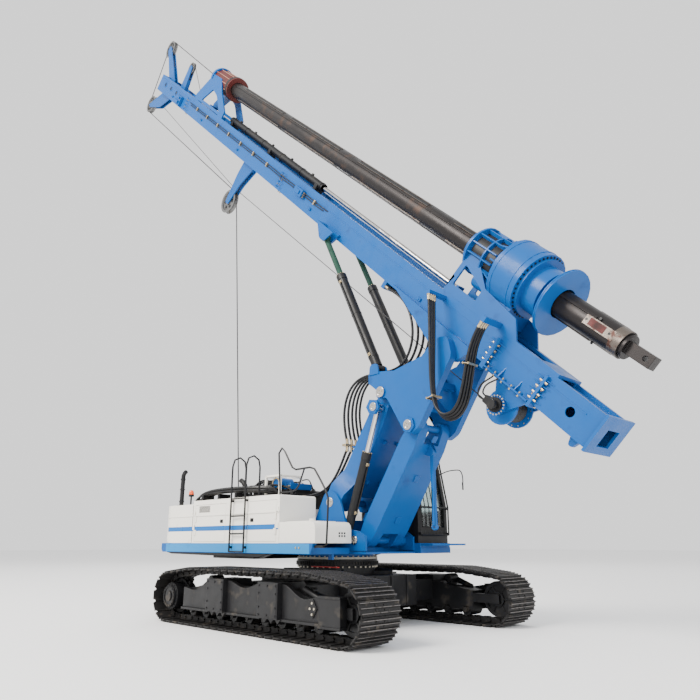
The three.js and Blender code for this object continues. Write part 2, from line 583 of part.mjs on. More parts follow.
function cabDoor() {
  const outer = CAB_LEFT;
  const panel = sidePlate(doorShape(0), outer - CAB.wall, outer);
  const pane = sidePlate([
    [490, 1950], [CAB.front - 150, 1950], [CAB.front - 150, CAB.waist],
      [CAB.front - CAB.lean - 130, CAB.roof - 170],
    [490, CAB.roof - 170],
  ], outer - CAB.wall - 10, outer + 10);
  const handle = block(CAB.front - 230, CAB.front - 120, outer - EPS, outer + 35, 1840, 1870);
  const knuckles = CAB_KNUCKLES.map((z) => knuckle(CAB.doorRear, outer + KNUCKLE.off, 1, 1, z));
  return join(cut(panel, pane), handle, knuckles);
}

function cabGuard() {
  const { front, waist, roof, lean } = CAB;
  const y0 = CAB_RIGHT + 30;
  const y1 = CAB_LEFT - 30;
  const gap = 55;
  const low = (y) => [front + gap, y, 1520];
  const middle = (y) => [front + gap, y, waist];
  const high = (y) => [front - lean + gap, y, roof - 40];
  const parts = [];
  const bars = 8;
  for (let i = 0; i < bars; i += 1) {
    const y = y0 + ((y1 - y0) * i) / (bars - 1);
    const thick = i === 0 || i === bars - 1 ? 18 : 10;
    parts.push(strut(low(y), middle(y), thick, 4), strut(middle(y), high(y), thick, 4));
  }
  for (const level of [low, middle, high]) parts.push(strut(level(y0), level(y1), 18, 4));
  for (const y of [y0, y1]) {
    parts.push(block(front + SEAT, front + gap, y - 15, y + 15, waist - 30, waist + 10));
    parts.push(block(front + SEAT, front + gap, y - 15, y + 15, 1520, 1560));
  }
  return join(parts);
}

function seat() {
  const y0 = (CAB_RIGHT + CAB_LEFT) / 2;
  const base = CAB.floor + CAB.wall + SEAT;
  return join(block(330, 780, y0 - 150, y0 + 150, base, base + 330),
    block(280, 860, y0 - 250, y0 + 250, base + 300, base + 440),
    sidePlate([[280, base + 400], [400, base + 400], [300, base + 1120, 40], [200, base + 1120, 40]],
      y0 - 230, y0 + 230));
}

function upperBody() {
  const upper = place(rig, 'pivot_upper', 0, 0);
  add(upper, 'upper_frame', upperFrame(), BLUE);
  add(upper, 'counterweight', counterweight(), WHITE);
  add(upper, 'engine_housing', engineHousing(), WHITE);
  add(upper, 'engine_block', block(ENGINE.rear, ENGINE.front, -ENGINE.halfWidth, ENGINE.halfWidth,
    UPPER.deck + SEAT, ENGINE.top), BLACK);
  add(upper, 'fuel_tank', fuelTank(), WHITE);
  add(upper, 'access_ladder', ladder(), BLACK);
  add(upper, 'handrail', handrail(), BLACK);
  add(upper, 'exhaust_pipe', exhaust(), BLACK);
  add(upper, 'hydraulic_deck', hydraulicDeck(), BLACK);
  add(upper, 'cab_shell', cabShell(), BLACK);
  add(upper, 'cab_guard', cabGuard(), BLACK);
  add(upper, 'operator_seat', seat(), RUBBER);
  const door = place(upper, 'pivot_cab_door', CAB.doorRear, 0, 0, CAB_LEFT + KNUCKLE.off);
  const doorMesh = add(door, 'cab_door', cabDoor(), BLACK);
  doorMesh.position.set(-CAB.doorRear, -CAB_LEFT - KNUCKLE.off, 0);
  for (const item of DOORS) {
    const hinge = place(upper, `pivot_${item.name}`, item.hinge, 0, 0,
      item.side * (UPPER.halfWidth + KNUCKLE.off));
    const panel = add(hinge, item.name, serviceDoor(item), WHITE);
    panel.position.set(-item.hinge, -item.side * (UPPER.halfWidth + KNUCKLE.off), 0);
  }
  const winch = place(upper, 'pivot_main_winch', MAIN_WINCH.x, MAIN_WINCH.z);
  add(winch, 'main_winch_drum', winchDrum(MAIN_WINCH.halfWidth, MAIN_WINCH.drum, MAIN_WINCH.flange), STEEL);
  return upper;
}

// ------------------------------------------------------------------- boom links
function boom() {
  const depth = BOOM.halfDepth;
  const wide = CHEEK_IN - MOVE;
  const side = sidePlate([
    [-depth + 30, -60, 60], [0, -190, 60], [depth - 30, -60, 60], [depth, 400], [depth, LINK_LENGTH - 500],
    [130, LINK_LENGTH + 60, 90], [0, LINK_LENGTH + 150, 60], [-130, LINK_LENGTH + 60, 90],
      [-depth, LINK_LENGTH - 500],
    [-depth, 400],
  ], -wide, wide);
  const front = frontPlate([
    [-wide, -220], [wide, -220], [wide, 260], [BOOM_HALF, 560], [BOOM_HALF, LINK_LENGTH + 250],
    [-BOOM_HALF, LINK_LENGTH + 250], [-BOOM_HALF, 560], [-wide, 260],
  ], -depth - 10, depth + 10);
  const footPads = roundPair(110, wide - EPS, CHEEK_IN - RUN, 0, 0, 20);
  const topPads = roundPair(110, BOOM_HALF - EPS, CLEAR_HALF - RUN, 0, LINK_LENGTH, 20);
  const hole = (z) => round('y', BOOM.pin * PIN_PLAY, -CHEEK_OUT, CHEEK_OUT, 0, z, 20);
  const footSlot = block(-300, 300, -220, 220, -260, 230);
  const topSlot = block(-300, 300, -190, 190, LINK_LENGTH - 200, LINK_LENGTH + 300);
  // Ears that hold the luffing rods, each a plate outside the rod joined over its end.
  const [eyeX, eyeZ] = inBoom(LUFF.eyeX, LUFF.eyeZ);
  const ears = sidePair([
    [eyeX - 165, eyeZ - 90], [eyeX - 40, eyeZ - 150], [eyeX + 110, eyeZ - 90], [eyeX + 120, eyeZ + 50],
    [eyeX, eyeZ + 130], [eyeX - 165, eyeZ + 60],
  ], EAR_IN, EAR_OUT);
  const bridges = both((s) => block(eyeX - 165, eyeX - 115, s * (BOOM_HALF - 30), s * (EAR_IN + EPS),
    eyeZ - 90, eyeZ + 60));
  // Bar behind the boom that holds the hoses apart.
  const { x, z, depth: barDepth, height } = HOSE_BAR;
  const [y0, y1] = [HOSE.middle - HOSE.clampHalf, HOSE.middle + HOSE.clampHalf];
  const [low, high] = [z - height / 2, z + height / 2];
  const hoseBar = sidePlate([inBoom(x - barDepth / 2, low), inBoom(x + barDepth / 2, low),
    inBoom(x + barDepth / 2, high),
    inBoom(x - barDepth / 2, high)], y0, y1);
  const [armX, armZ] = inBoom(x + barDepth / 2 - 10, z);
  const arms = [y0, y1 - 25].map((y) => block(armX, -depth + EPS, y, y + 25, armZ - 15, armZ + 15));
  return cut(join(side.intersect(front), footPads, topPads, ears, bridges, hoseBar, arms), hole(0),
    hole(LINK_LENGTH),
    footSlot, topSlot);
}

function frontLink() {
  const depth = FRONT_LINK.halfDepth;
  const body = sidePlate([
    [-depth + 40, -40, 60], [0, -150, 60], [depth - 40, -40, 60], [depth, 300], [depth, LINK_LENGTH - 300],
    [120, LINK_LENGTH + 40, 60], [0, LINK_LENGTH + 140, 60], [-120, LINK_LENGTH + 40, 60],
      [-depth, LINK_LENGTH - 300],
    [-depth, 300],
  ], -BOOM_HALF, BOOM_HALF);
  const pads = roundPair(100, BOOM_HALF - EPS, CLEAR_HALF - RUN, 0, LINK_LENGTH, 20);
  const footPads = roundPair(100, BOOM_HALF - EPS, CHEEK_IN - RUN, 0, 0, 20);
  const slots = [-200, LINK_LENGTH - 230].map((z) => block(-250, 250, -FRONT_LINK.slot, FRONT_LINK.slot, z,
    z + 430));
  const hole = (z) => round('y', BOOM.pin * PIN_PLAY, -CHEEK_OUT, CHEEK_OUT, 0, z, 20);
  const lugs = both((s) => sidePlate([
    [depth - EPS, STRUT.z - 90], [STRUT.x + 50, STRUT.z - 50, 40], [STRUT.x + 50, STRUT.z + 50, 40],
      [depth - EPS, STRUT.z + 110],
  ], ...ordered(s * (STRUT.thick + RUN), s * (STRUT.thick + 25))));
  const strutPin = round('y', 24, -STRUT.thick - 20, STRUT.thick + 20, STRUT.x, STRUT.z, 12);
  return join(cut(join(body, pads, footPads), slots, hole(0), hole(LINK_LENGTH)), lugs, strutPin);
}

// A cylinder barrel or rod along +Z from its eye at the origin.
function cylinderBarrel(radius, length, eye, pin) {
  const half = radius + MOVE - RUN;
  const tube = round('z', radius, eye * 0.5, length, 0, 0, 18);
  const end = round('y', eye, -half, half, 0, 0, 16);
  return cut(join(tube, end), round('z', radius * 0.8, eye + 60, length + 10, 0, 0, 18),
    round('y', pin * PIN_PLAY + 0.5, -half - 10, half + 10, 0, 0, 14));
}

function cylinderRod(radius, length, eye, half) {
  return join(round('z', radius, -length, -eye * 0.5, 0, 0, 16), round('y', eye, -half, half, 0, 0, 16));
}

function triangle() {
  const originX = LINK.topX;
  const originZ = LINK.topZ;
  const px = TRIANGLE.pivotX - originX;
  const pz = TRIANGLE.pivotZ - originZ;
  const cx = TRIANGLE.cylinderX - originX;
  const cz = TRIANGLE.cylinderZ - originZ;
  const plateShape = [
    [-120, -90, 60], [120, -110, 60], [LINK.offsetX - 130, LINK.offsetZ - 60, 50],
      [LINK.offsetX + 10, LINK.offsetZ - 160, 60],
    [LINK.offsetX + 200, LINK.offsetZ - 60, 60], [px + 190, pz - 160, 80], [px + 120, pz + 190, 120],
    [px - 160, pz + 170, 100], [px - 420, pz - 60], [300, 330], [-60, 380], [-300, 360], [-300, 200],
      [-120, 60],
  ];
  const plates = sidePair(plateShape, CLEAR_HALF, TRIANGLE_OUT);
  const inner = CLEAR_HALF + EPS;
  const rearBeam = block(-290, 190, -inner, inner, 215, 350);
  const backPlate = sidePlate([[170, 225], [190, 320], [700, -330], [640, -360]], -inner, inner);
  const barOne = block(px - 560, px - 470, -inner, inner, pz - 500, pz - 380);
  const barTwo = block(px - 740, px - 640, -inner, inner, pz - 360, pz - 250);
  const pins = [
    round('y', BOOM.pin, -inner, inner, 0, 0, 16),
    round('y', BOOM.pin, -inner, inner, LINK.offsetX, LINK.offsetZ, 16),
    round('y', 75, -inner, inner, px, pz, 16),
  ];
  // Forks that carry the feet of the mast cylinders.
  const forkHalf = MAST_CYLINDER.barrel + MOVE;
  const forks = both((s) => [forkHalf, -forkHalf - 28].map((offset) => sidePlate([
    [cx - 110, 340], [cx + 120, 340], [cx + 90, cz + 60, 60], [cx - 90, cz + 60, 60],
  ], s * MAST_CYLINDER_Y + offset, s * MAST_CYLINDER_Y + offset + 28)));
  const forkPins = both((s) => round('y', MAST_CYLINDER.pin, s * MAST_CYLINDER_Y - forkHalf - EPS,
    s * MAST_CYLINDER_Y + forkHalf + EPS,
    cx, cz, 14));
  const pinPlates = roundPair(95, TRIANGLE_OUT - EPS, TRIANGLE_OUT + 25, 0, 0, 18);
  const hoseClamp = block(HOSE_CLAMP.rear - originX, HOSE_CLAMP.front - originX, HOSE.middle - HOSE.clampHalf,
    HOSE.middle + HOSE.clampHalf, HOSE_CLAMP.bottom - originZ, HOSE_CLAMP.top - originZ);
  return join(plates, rearBeam, backPlate, barOne, barTwo, pins, forks.flat(), forkPins, pinPlates,
    hoseClamp);
}

function transportStrut() {
  const { length, thick } = STRUT;
  const eyes = [0, -length].map((z) => round('y', 50, -thick, thick, 0, z, 14));
  const holes = [0, -length].map((z) => round('y', 24 * PIN_PLAY + EPS, -thick - 5, thick + 5, 0, z, 12));
  return cut(join(block(-32, 32, -thick, thick, -length, 0), eyes), holes);
}

function linkage(upper) {
  const boomGroup = place(upper, 'pivot_boom', LINK.bottomX, LINK.bottomZ, LINK_ANGLE);
  add(boomGroup, 'boom', boom(), BLUE);
  const linkGroup = place(upper, 'pivot_front_link', LINK.bottomX + LINK.offsetX,
    LINK.bottomZ + LINK.offsetZ, LINK_ANGLE);
  add(linkGroup, 'front_link', frontLink(), BLUE);
  const luffTilt = Math.atan2(LUFF.eyeX - LUFF.footX, LUFF.eyeZ - LUFF.footZ);
  const luffSpan = Math.hypot(LUFF.eyeX - LUFF.footX, LUFF.eyeZ - LUFF.footZ);
  for (const [name, side] of [['right', -1], ['left', 1]]) {
    const foot = place(upper, `pivot_luffing_${name}`, LUFF.footX, LUFF.footZ, luffTilt, side * LUFF_Y);
    const barrel = cylinderBarrel(LUFF.barrel, LUFF.barrelLength, 75, LUFF.pin);
    add(foot, `luffing_barrel_${name}`, barrel, BLACK);
    const eyeHalf = LUFF.barrel + MOVE - RUN;
    const rod = add(foot, `luffing_rod_${name}`, cylinderRod(LUFF.rod, 1050, 70, eyeHalf), CHROME);
    rod.position.z = luffSpan;
  }
  const triangleGroup = place(upper, 'pivot_triangle', LINK.topX, LINK.topZ);
  add(triangleGroup, 'triangle_frame', triangle(), BLUE);
  const strutGroup = place(linkGroup, 'pivot_strut', STRUT.x, STRUT.z, -LINK_ANGLE);
  add(strutGroup, 'transport_strut', transportStrut(), BLUE);
  return triangleGroup;
}

// ------------------------------------------------------------------------ mast
// In the mast's frame +Z runs from foot to head, +X is the front, and the origin is the foot's front edge.
function boxSection(bottom, top) {
  const { halfWidth: w, depth: d, wall: t } = MAST;
  const shell = cut(block(-d, 0, -w, w, bottom, top), block(-d + t, -t, -w + t, w - t, bottom - 10,
    top + 10));
  const rails = both((s) => block(-EPS, MAST.railHeight, s * (w - MAST.railWidth), s * w, bottom, top));
  return join(shell, rails);
}

const flange = (s) => block(-MAST.depth - 60, -EPS, -MAST.halfWidth - 60, MAST.halfWidth + 60, s - 25,
  s + 25);

function mastFoot() {
  const section = boxSection(SEAT, MAST.footJoint - SEAT);
  const plate = cut(block(-MAST.depth - 30, MAST.railHeight + 30, -400, 400, 0, 40),
    block(-MAST.depth + 90, -110, -170, 170, -10, 60));
  const collar = cut(join(flange(MAST.footFlange), block(-MAST.depth - 60, -EPS, -MAST.halfWidth - 60,
    MAST.halfWidth + 60,
    MAST.footJoint - 40, MAST.footJoint - SEAT)), block(-MAST.depth + 20, -20, -MAST.halfWidth + 20,
      MAST.halfWidth - 20, 0, 3000));
  const hole = round('y', 75, -500, 500, -210, 510, 20);
  const lug = sidePlate([[-MAST.depth + EPS, 260], [-MAST.depth + EPS, 460], [-MAST.depth - 180, 400, 40],
    [-MAST.depth - 180, 330, 40]], -40, 40);
  return join(cut(join(section, collar), hole), plate, lug);
}

function mastMiddle() {
  const section = boxSection(MAST.footJoint + SEAT, MAST.midJoint - SEAT);
  const neck = cut(block(-MAST.depth - 60, -EPS, -MAST.halfWidth - 60, MAST.halfWidth + 60,
    MAST.footJoint + SEAT,
    MAST.footJoint + 40), block(-MAST.depth + 20, -20, -MAST.halfWidth + 20, MAST.halfWidth - 20, 0, 3000));
  const lugs = sidePair([
    [-MAST.depth + 60, 2400], [MAST.pivotN - 80, MAST.pivotS - 260, 120],
      [MAST.pivotN - 180, MAST.pivotS, 120],
    [MAST.pivotN - 150, MAST.pivotS + 300, 120], [-MAST.depth - 40, 4300], [-MAST.depth + 60, 4700],
  ], MAST.halfWidth - 60, MAST.lugHalf);
  const web = sidePlate([
    [-MAST.depth + 10, 2500], [MAST.pivotN + 60, MAST.pivotS + 120], [MAST.pivotN + 60, 3400],
      [-MAST.depth + 10, 4200],
  ], -MAST.halfWidth, MAST.halfWidth);
  const pads = roundPair(140, MAST.lugHalf - EPS, CLEAR_HALF - RUN, MAST.pivotN, MAST.pivotS, 20);
  const hole = round('y', 75 * PIN_PLAY, -CLEAR_HALF - 20, CLEAR_HALF + 20, MAST.pivotN, MAST.pivotS, 20);
  // Brackets beside the heads of the mast cylinders.
  const { topN, topS } = MAST_CYLINDER;
  const inner = MAST_CYLINDER_Y - MAST_CYLINDER.rod - MOVE;
  const outer = MAST_CYLINDER_Y + MAST_CYLINDER.barrel + MOVE;
  const shape = [[-MAST.depth + 120, topS - 250], [topN - 60, topS - 110, 60], [topN - 60, topS + 70, 60],
    [-MAST.depth + 120, topS + 420]];
  const innerPlates = sidePair(shape, MAST.halfWidth - EPS, inner);
  const outerPlates = sidePair(shape, outer, outer + 25);
  const bridges = sidePair([[-MAST.depth + 120, topS + 270], [topN + 40, topS + 180], [topN + 60, topS + 240],
    [-MAST.depth + 120, topS + 420]], MAST.halfWidth - EPS, outer + EPS);
  const hoseClamp = block(-MAST_CLAMP.depth, -MAST.depth + EPS, HOSE.middle - HOSE.clampHalf,
    HOSE.middle + HOSE.clampHalf,
    MAST_CLAMP.bottom, MAST_CLAMP.top);
  const corners = [[-1, 'bottom'], [1, 'bottom'], [1, 'top'], [-1, 'top']];
  const loopBracket = sidePlate(corners.map(([s, level]) => inMast(LOOP_TOP.x + s * LOOP_TOP.halfDepth,
    LOOP_TOP[level])),
    LOOP_HOSE.middle - LOOP_HOSE.clampHalf, -MAST.halfWidth + EPS);
  return cut(join(section, neck, lugs, web, pads, innerPlates, outerPlates, bridges, hoseClamp, loopBracket),
    hole);
}

function mastUpper() {
  return boxSection(MAST.midJoint + SEAT, MAST.upperJoint - SEAT);
}

function mastHead() {
  const section = boxSection(MAST.upperJoint + SEAT, MAST.head);
  const cap = block(-MAST.depth, MAST.railHeight, -MAST.halfWidth, MAST.halfWidth, MAST.head - EPS,
    MAST.head + 30);
  const jib = (sheave, base0, base1, half) => {
    const plates = both((s) => sidePlate([
      [-60, base0], [-60, base1], [sheave.n - 60, sheave.s + 120, 60], [sheave.n + 110, sheave.s + 60, 60],
      [sheave.n + 60, sheave.s - 110, 60], [60, base0],
    ], ...ordered(s * half, s * (half + 24))));
    const web = sidePlate([[-60, base0], [-60, base1], [sheave.n * 0.45, (base1 + sheave.s) / 2 + 20],
      [sheave.n * 0.5, (base0 + sheave.s) / 2 - 60]], -half - EPS, half + EPS);
    const pin = round('y', 34, -half - 10, half + 10, sheave.n, sheave.s, 12);
    return join(plates, web, pin);
  };
  const main = SHEAVES.sheave_main;
  const aux = SHEAVES.sheave_aux;
  const rear = SHEAVES.sheave_rear;
  const rearHalf = rear.thick / 2 + RUN;
  const rearPlates = both((s) => sidePlate([
    [-MAST.depth + 60, MAST.head - 500], [-MAST.depth + 60, MAST.head + 20], [rear.n - 60, rear.s + 120, 60],
    [rear.n - 110, rear.s - 60, 60], [rear.n + 120, MAST.head - 100], [-MAST.depth - 80, MAST.head - 620],
  ], ...ordered(s * rearHalf, s * (rearHalf + 24))));
  const rearWeb = sidePlate([[-MAST.depth + 60, MAST.head - 400], [-MAST.depth + 60, MAST.head],
    [-MAST.depth - 160, MAST.head + 60], [-MAST.depth - 120, MAST.head - 400]], -rearHalf - EPS,
      rearHalf + EPS);
  const rearPin = round('y', 34, -rearHalf - 10, rearHalf + 10, rear.n, rear.s, 12);
  return join(section, cap, jib(main, MAST.head - 420, MAST.head + 20, main.thick / 2 + RUN),
    jib(aux, 17950, 18330, aux.thick / 2 + RUN), rearPlates, rearWeb, rearPin);
}

function sheave(item) {
  const half = item.thick / 2;
  const rim = round('y', item.radius, -half, half, 0, 0, 28);
  return cut(rim, round('y', 34 * PIN_PLAY + 1, -half - 5, half + 5, 0, 0, 16));
}

function ropeGuideArm() {
  const { s, n, thick } = SHEAVES.sheave_guide;
  const half = thick / 2 + RUN;
  const plates = both((side) => sidePlate([
    [-MAST.depth - SEAT, s - 500], [-MAST.depth - SEAT, s + 120], [-900, s + 160, 60], [n - 60, s + 90, 60],
    [n - 80, s - 80, 60], [-1100, s - 200, 80],
  ], ...ordered(side * half, side * (half + 30))));
  const web = block(-MAST.depth - 150, -MAST.depth - SEAT, -half - EPS, half + EPS, s - 400, s + 100);
  const pin = round('y', 34, -half - 10, half + 10, n, s, 12);
  return join(plates, web, pin);
}

function crowdBarrel() {
  const { n, barrel, top, bottom } = CROWD;
  const tube = round('z', barrel, bottom, top, n, 0, 20);
  const feet = [bottom + 200, (bottom + top) / 2, top - 200].map((s) => block(SEAT, n, -110, 110, s - 60,
    s + 60));
  const bore = round('z', barrel * 0.8, bottom - 10, top - 200, n, 0, 20);
  return cut(join(tube, feet), bore);
}

function mastWinchFrame() {
  const { s, n, halfWidth } = MAST_WINCH;
  const plates = both((side) => sidePlate([
    [-MAST.depth - 61, s - 330], [-MAST.depth - 61, s + 330], [n - 60, s + 90, 90], [n - 60, s - 90, 90],
  ], ...ordered(side * (halfWidth + RUN), side * (halfWidth + 40))));
  const base = block(-MAST.depth - 61, -MAST.depth - SEAT, -halfWidth - 40, halfWidth + 40,
    MAST.footFlange + 30, 2060);
  const motor = round('y', 120, -halfWidth - 155, -halfWidth - 35, n, s, 14);
  return join(plates, base, motor);
}

// The drive's turned housing: rings from the shield's neck up to the crown, each grown by gap.
function driveRings(gap) {
  const n = DRIVE.axisN;
  const rings = [
    [400, DRIVE.housingBottom - 330, DRIVE.housingBottom + EPS],
      [500, DRIVE.housingBottom - 60, DRIVE.housingBottom + EPS],
    [DRIVE.housingRadius, DRIVE.housingBottom, DRIVE.housingTop],
      [345, DRIVE.housingTop - EPS, DRIVE.top - 20],
    [430, DRIVE.top - 60, DRIVE.top - 20],
  ];
  return join(rings.map(([radius, from, to]) => round('z', radius + gap, from - gap, to + gap, n, 0, 26)));
}

function carriage() {
  const bottom = DRIVE.bottom;
  const top = DRIVE.top;
  const rise = MAST.railHeight + RUN;
  const w = MAST.halfWidth;
  const plate = join(block(rise, rise + 50, -w, w, bottom, bottom + 420),
    block(rise, rise + 50, -w, w, top - 420, top));
  const runners = both((s) => block(rise, rise + 50, s * (w - 110), s * w, bottom, top));
  const hooks = both((s) => [bottom, top - 300].map((z) => block(8, rise + EPS,
    s * (w - MAST.railWidth - MOVE),
    s * (w - MAST.railWidth - 60), z, z + 300)));
  const webs = both((s) => cut(sidePlate([
    [rise + 40, bottom + 900], [rise + 40, top], [DRIVE.axisN - 120, top - 60, 80],
      [DRIVE.axisN - 120, top - 330],
    [480, DRIVE.housingTop + 40], [380, DRIVE.housingBottom - 200],
  ], ...ordered(s * (w - 40), s * w)), sidePlate([
    [230, DRIVE.housingTop + 80], [230, top - 120, 40], [620, top - 150, 40],
      [420, DRIVE.housingTop + 80, 40],
  ], ...ordered(s * (w - 60), s * (w + 20)))));
  const rodLug = join(block(rise + 40, CROWD.n + 60, -80, 80, top - 60, top - SEAT),
    block(rise, rise + 50, -w, w, top - 100, top));
  const hoseBracket = block(LOOP_END.n, LOOP_END.depth, LOOP_HOSE.middle - LOOP_HOSE.clampHalf, -w + EPS,
    LOOP_END.bottom, LOOP_END.top);
  return cut(join(plate, runners, hooks.flat(), webs, rodLug, hoseBracket), driveRings(SEAT + 0.7));
}

function crowdRod() {
  const end = CROWD.bottom + 800;
  return join(round('z', CROWD.rod, DRIVE.top, end, CROWD.n, 0, 16),
    round('z', CROWD.barrel * 0.78, end - 60, end, CROWD.n, 0, 16));
}

function rotaryDrive() {
  const n = DRIVE.axisN;
  const w = MAST.halfWidth - 40 - SEAT;
  const neck = planPlate([[170, -w], [170, w], [n - 200, w], [n - 200, -w]], DRIVE.housingBottom,
    DRIVE.housingTop);
  const motors = both((s) => round('z', 130, DRIVE.housingTop - EPS, DRIVE.housingTop + 420, n - 420,
    s * 160, 16));
  const bore = round('z', SLEEVE + DRIVE.borePlay, 0, 5000, n, 0, 24);
  return cut(join(driveRings(0), neck, motors), bore);
}

function driveSleeve() {
  const n = DRIVE.axisN;
  const tube = round('z', SLEEVE, DRIVE.discBottom, DRIVE.top + 40, n, 0, 24);
  const disc = round('z', DRIVE.discRadius, DRIVE.discBottom, DRIVE.discBottom + 45, n, 0, 24);
  const cap = round('z', 380, DRIVE.top - 20 + RUN, DRIVE.top + 40, n, 0, 24);
  return cut(join(tube, disc, cap), round('z', SLEEVE_BORE, 0, 5000, n, 0, 24));
}

function kellyGuide() {
  const rise = MAST.railHeight + RUN;
  const w = MAST.halfWidth;
  const n = DRIVE.axisN;
  const { bottom, top, plate } = GUIDE;
  const shoes = both((s) => [bottom, top - 320].map((z) => join(
    block(rise, rise + 60, s * (w - 130), s * w, z, z + 320),
    block(8, rise + EPS, s * (w - MAST.railWidth - MOVE), s * (w - MAST.railWidth - 60), z, z + 320))));
  const sides = both((s) => cut(sidePlate([
    [rise + 20, bottom], [rise + 20, top], [rise + 140, top], [n + 60, KELLY.top - 150, 60],
      [n + 60, KELLY.collarBottom + 500],
    [n - 260, KELLY.collarBottom + 120], [rise + 200, bottom],
  ], ...ordered(s * (w - plate), s * w)), sidePlate([
    [rise + 100, bottom + 330, 40], [rise + 100, top - 520, 40], [n - 330, KELLY.top - 520, 60],
    [n - 420, KELLY.collarBottom + 330, 60],
  ], ...ordered(s * (w - plate - 20), s * (w + 20)))));
  const cheeks = block(n - 320, n + 60, -w, w, KELLY.top - 620, KELLY.top - 560);
  const ring = round('z', COLLAR + 50, KELLY.top - 150, KELLY.top - 60, n, 0, 24);
  const bridge = block(n - 330, n + 30, -w, w, KELLY.top - 150, KELLY.top - 90);
  const bore = round('z', COLLAR + MOVE, 10000, 17000, n, 0, 24);
  const counterbore = round('z', COLLAR + 40 + MOVE, KELLY.top - 60, 17000, n, 0, 24);
  return cut(join(shoes.flat(), sides, cheeks, ring, bridge), bore, counterbore);
}

function kellyCollar() {
  const n = DRIVE.axisN;
  const skin = round('z', COLLAR, KELLY.collarBottom, KELLY.top, n, 0, 24);
  const rim = round('z', COLLAR + 35, KELLY.collarBottom - 60, KELLY.collarBottom + 60, n, 0, 24);
  const thrust = round('z', COLLAR + 40, KELLY.top - 60 + RUN, KELLY.top - 20, n, 0, 24);
  return cut(join(skin, rim, thrust), round('z', KELLY.tube + SEAT, KELLY.collarBottom - 70, KELLY.top - 40,
    n, 0, 24),
    round('z', KELLY.bar + 14, KELLY.top - 60, KELLY.top + 10, n, 0, 24));
}

function kellyOuter() {
  const n = DRIVE.axisN;
  const tube = round('z', KELLY.tube, KELLY.bottom, KELLY.top - 60, n, 0, 24);
  const strips = [0, 1, 2].map((i) => {
    const angle = (i * 2 * Math.PI) / 3 + Math.PI / 3;
    const middle = KELLY.tube - 10;
    const strip = new THREE.BoxGeometry(KELLY_STRIP - middle, 44,
      KELLY.collarBottom - 260 - KELLY.bottom - 500);
    strip.translate((KELLY_STRIP + middle) / 2, 0, (KELLY.collarBottom - 260 + KELLY.bottom + 500) / 2);
    return solidOf(strip.rotateZ(angle).translate(n, 0, 0));
  });
  return cut(join(tube, strips), round('z', KELLY.tube - KELLY.wall, 0, 17000, n, 0, 24));
}

function kellyInner() {
  const n = DRIVE.axisN;
  const shaft = round('z', KELLY.bar, KELLY.bottom - 60, KELLY.top - 100, n, 0, 24);
  const lip = round('z', KELLY.tube - KELLY.wall - RUN, KELLY.bottom - 60, KELLY.bottom + 60, n, 0, 24);
  const stub = block(n - 95, n + 95, -95, 95, KELLY.stub, KELLY.bottom - 50);
  const swivel = round('z', 60, KELLY.top - 110, KELLY.top + 330, n, 0, 14);
  return cut(join(shaft, lip, stub, swivel), round('y', 38, -120, 120, n, KELLY.stub + 110, 16));
}

function mastAssembly(triangleGroup) {
  const pivot = place(triangleGroup, 'pivot_mast', TRIANGLE.pivotX - LINK.topX, TRIANGLE.pivotZ - LINK.topZ,
    -RAKE);
  const mast = place(pivot, 'mast_frame', -MAST.pivotN, -MAST.pivotS);
  add(mast, 'mast_foot', mastFoot(), BLUE);
  add(mast, 'mast_middle', mastMiddle(), BLUE);
  add(mast, 'mast_upper', mastUpper(), BLUE);
  add(mast, 'mast_head', mastHead(), BLUE);
  add(mast, 'crowd_barrel', crowdBarrel(), BLACK);
  add(mast, 'rope_guide_arm', ropeGuideArm(), BLUE);
  add(mast, 'mast_winch_frame', mastWinchFrame(), BLUE);
  const winch = place(mast, 'pivot_mast_winch', MAST_WINCH.n, MAST_WINCH.s);
  add(winch, 'mast_winch_drum', winchDrum(MAST_WINCH.halfWidth, MAST_WINCH.drum, MAST_WINCH.flange), BLUE);
  for (const [name, item] of Object.entries(SHEAVES)) {
    const hub = place(mast, `pivot_${name}`, item.n, item.s);
    add(hub, name, sheave(item), STEEL);
  }
  add(mast, 'carriage', carriage(), BLUE);
  add(mast, 'crowd_rod', crowdRod(), CHROME);
  add(mast, 'rotary_drive', rotaryDrive(), BLUE);
  add(mast, 'drive_sleeve', driveSleeve(), BLUE);
  add(mast, 'kelly_guide', kellyGuide(), BLUE);
  place(mast, 'axis_kelly', DRIVE.axisN, 0);
  add(mast, 'kelly_collar', kellyCollar(), RUST);
  add(mast, 'kelly_outer', kellyOuter(), STEEL);
  add(mast, 'kelly_inner', kellyInner(), STEEL);
}

// The mast cylinders stand on the triangle and reach to the brackets behind the mast.
function mastCylinders(triangleGroup) {
  const [topX, topZ] = fromMast(MAST_CYLINDER.topN, MAST_CYLINDER.topS);
  const dx = topX - TRIANGLE.cylinderX;
  const dz = topZ - TRIANGLE.cylinderZ;
  for (const [name, side] of [['right', -1], ['left', 1]]) {
    const foot = place(triangleGroup, `pivot_mast_cylinder_${name}`, TRIANGLE.cylinderX - LINK.topX,
      TRIANGLE.cylinderZ - LINK.topZ, Math.atan2(dx, dz), side * MAST_CYLINDER_Y);
    const barrel = cylinderBarrel(MAST_CYLINDER.barrel, MAST_CYLINDER.barrelLength, 80, MAST_CYLINDER.pin);
    add(foot, `mast_cylinder_barrel_${name}`, barrel, BLACK);
    const eyeHalf = MAST_CYLINDER.rod + MOVE - RUN;
    const rod = add(foot, `mast_cylinder_rod_${name}`,
      cylinderRod(MAST_CYLINDER.rod, MAST_CYLINDER.rodLength, 78, eyeHalf), GREEN);
    rod.position.z = Math.hypot(dx, dz);
  }
}

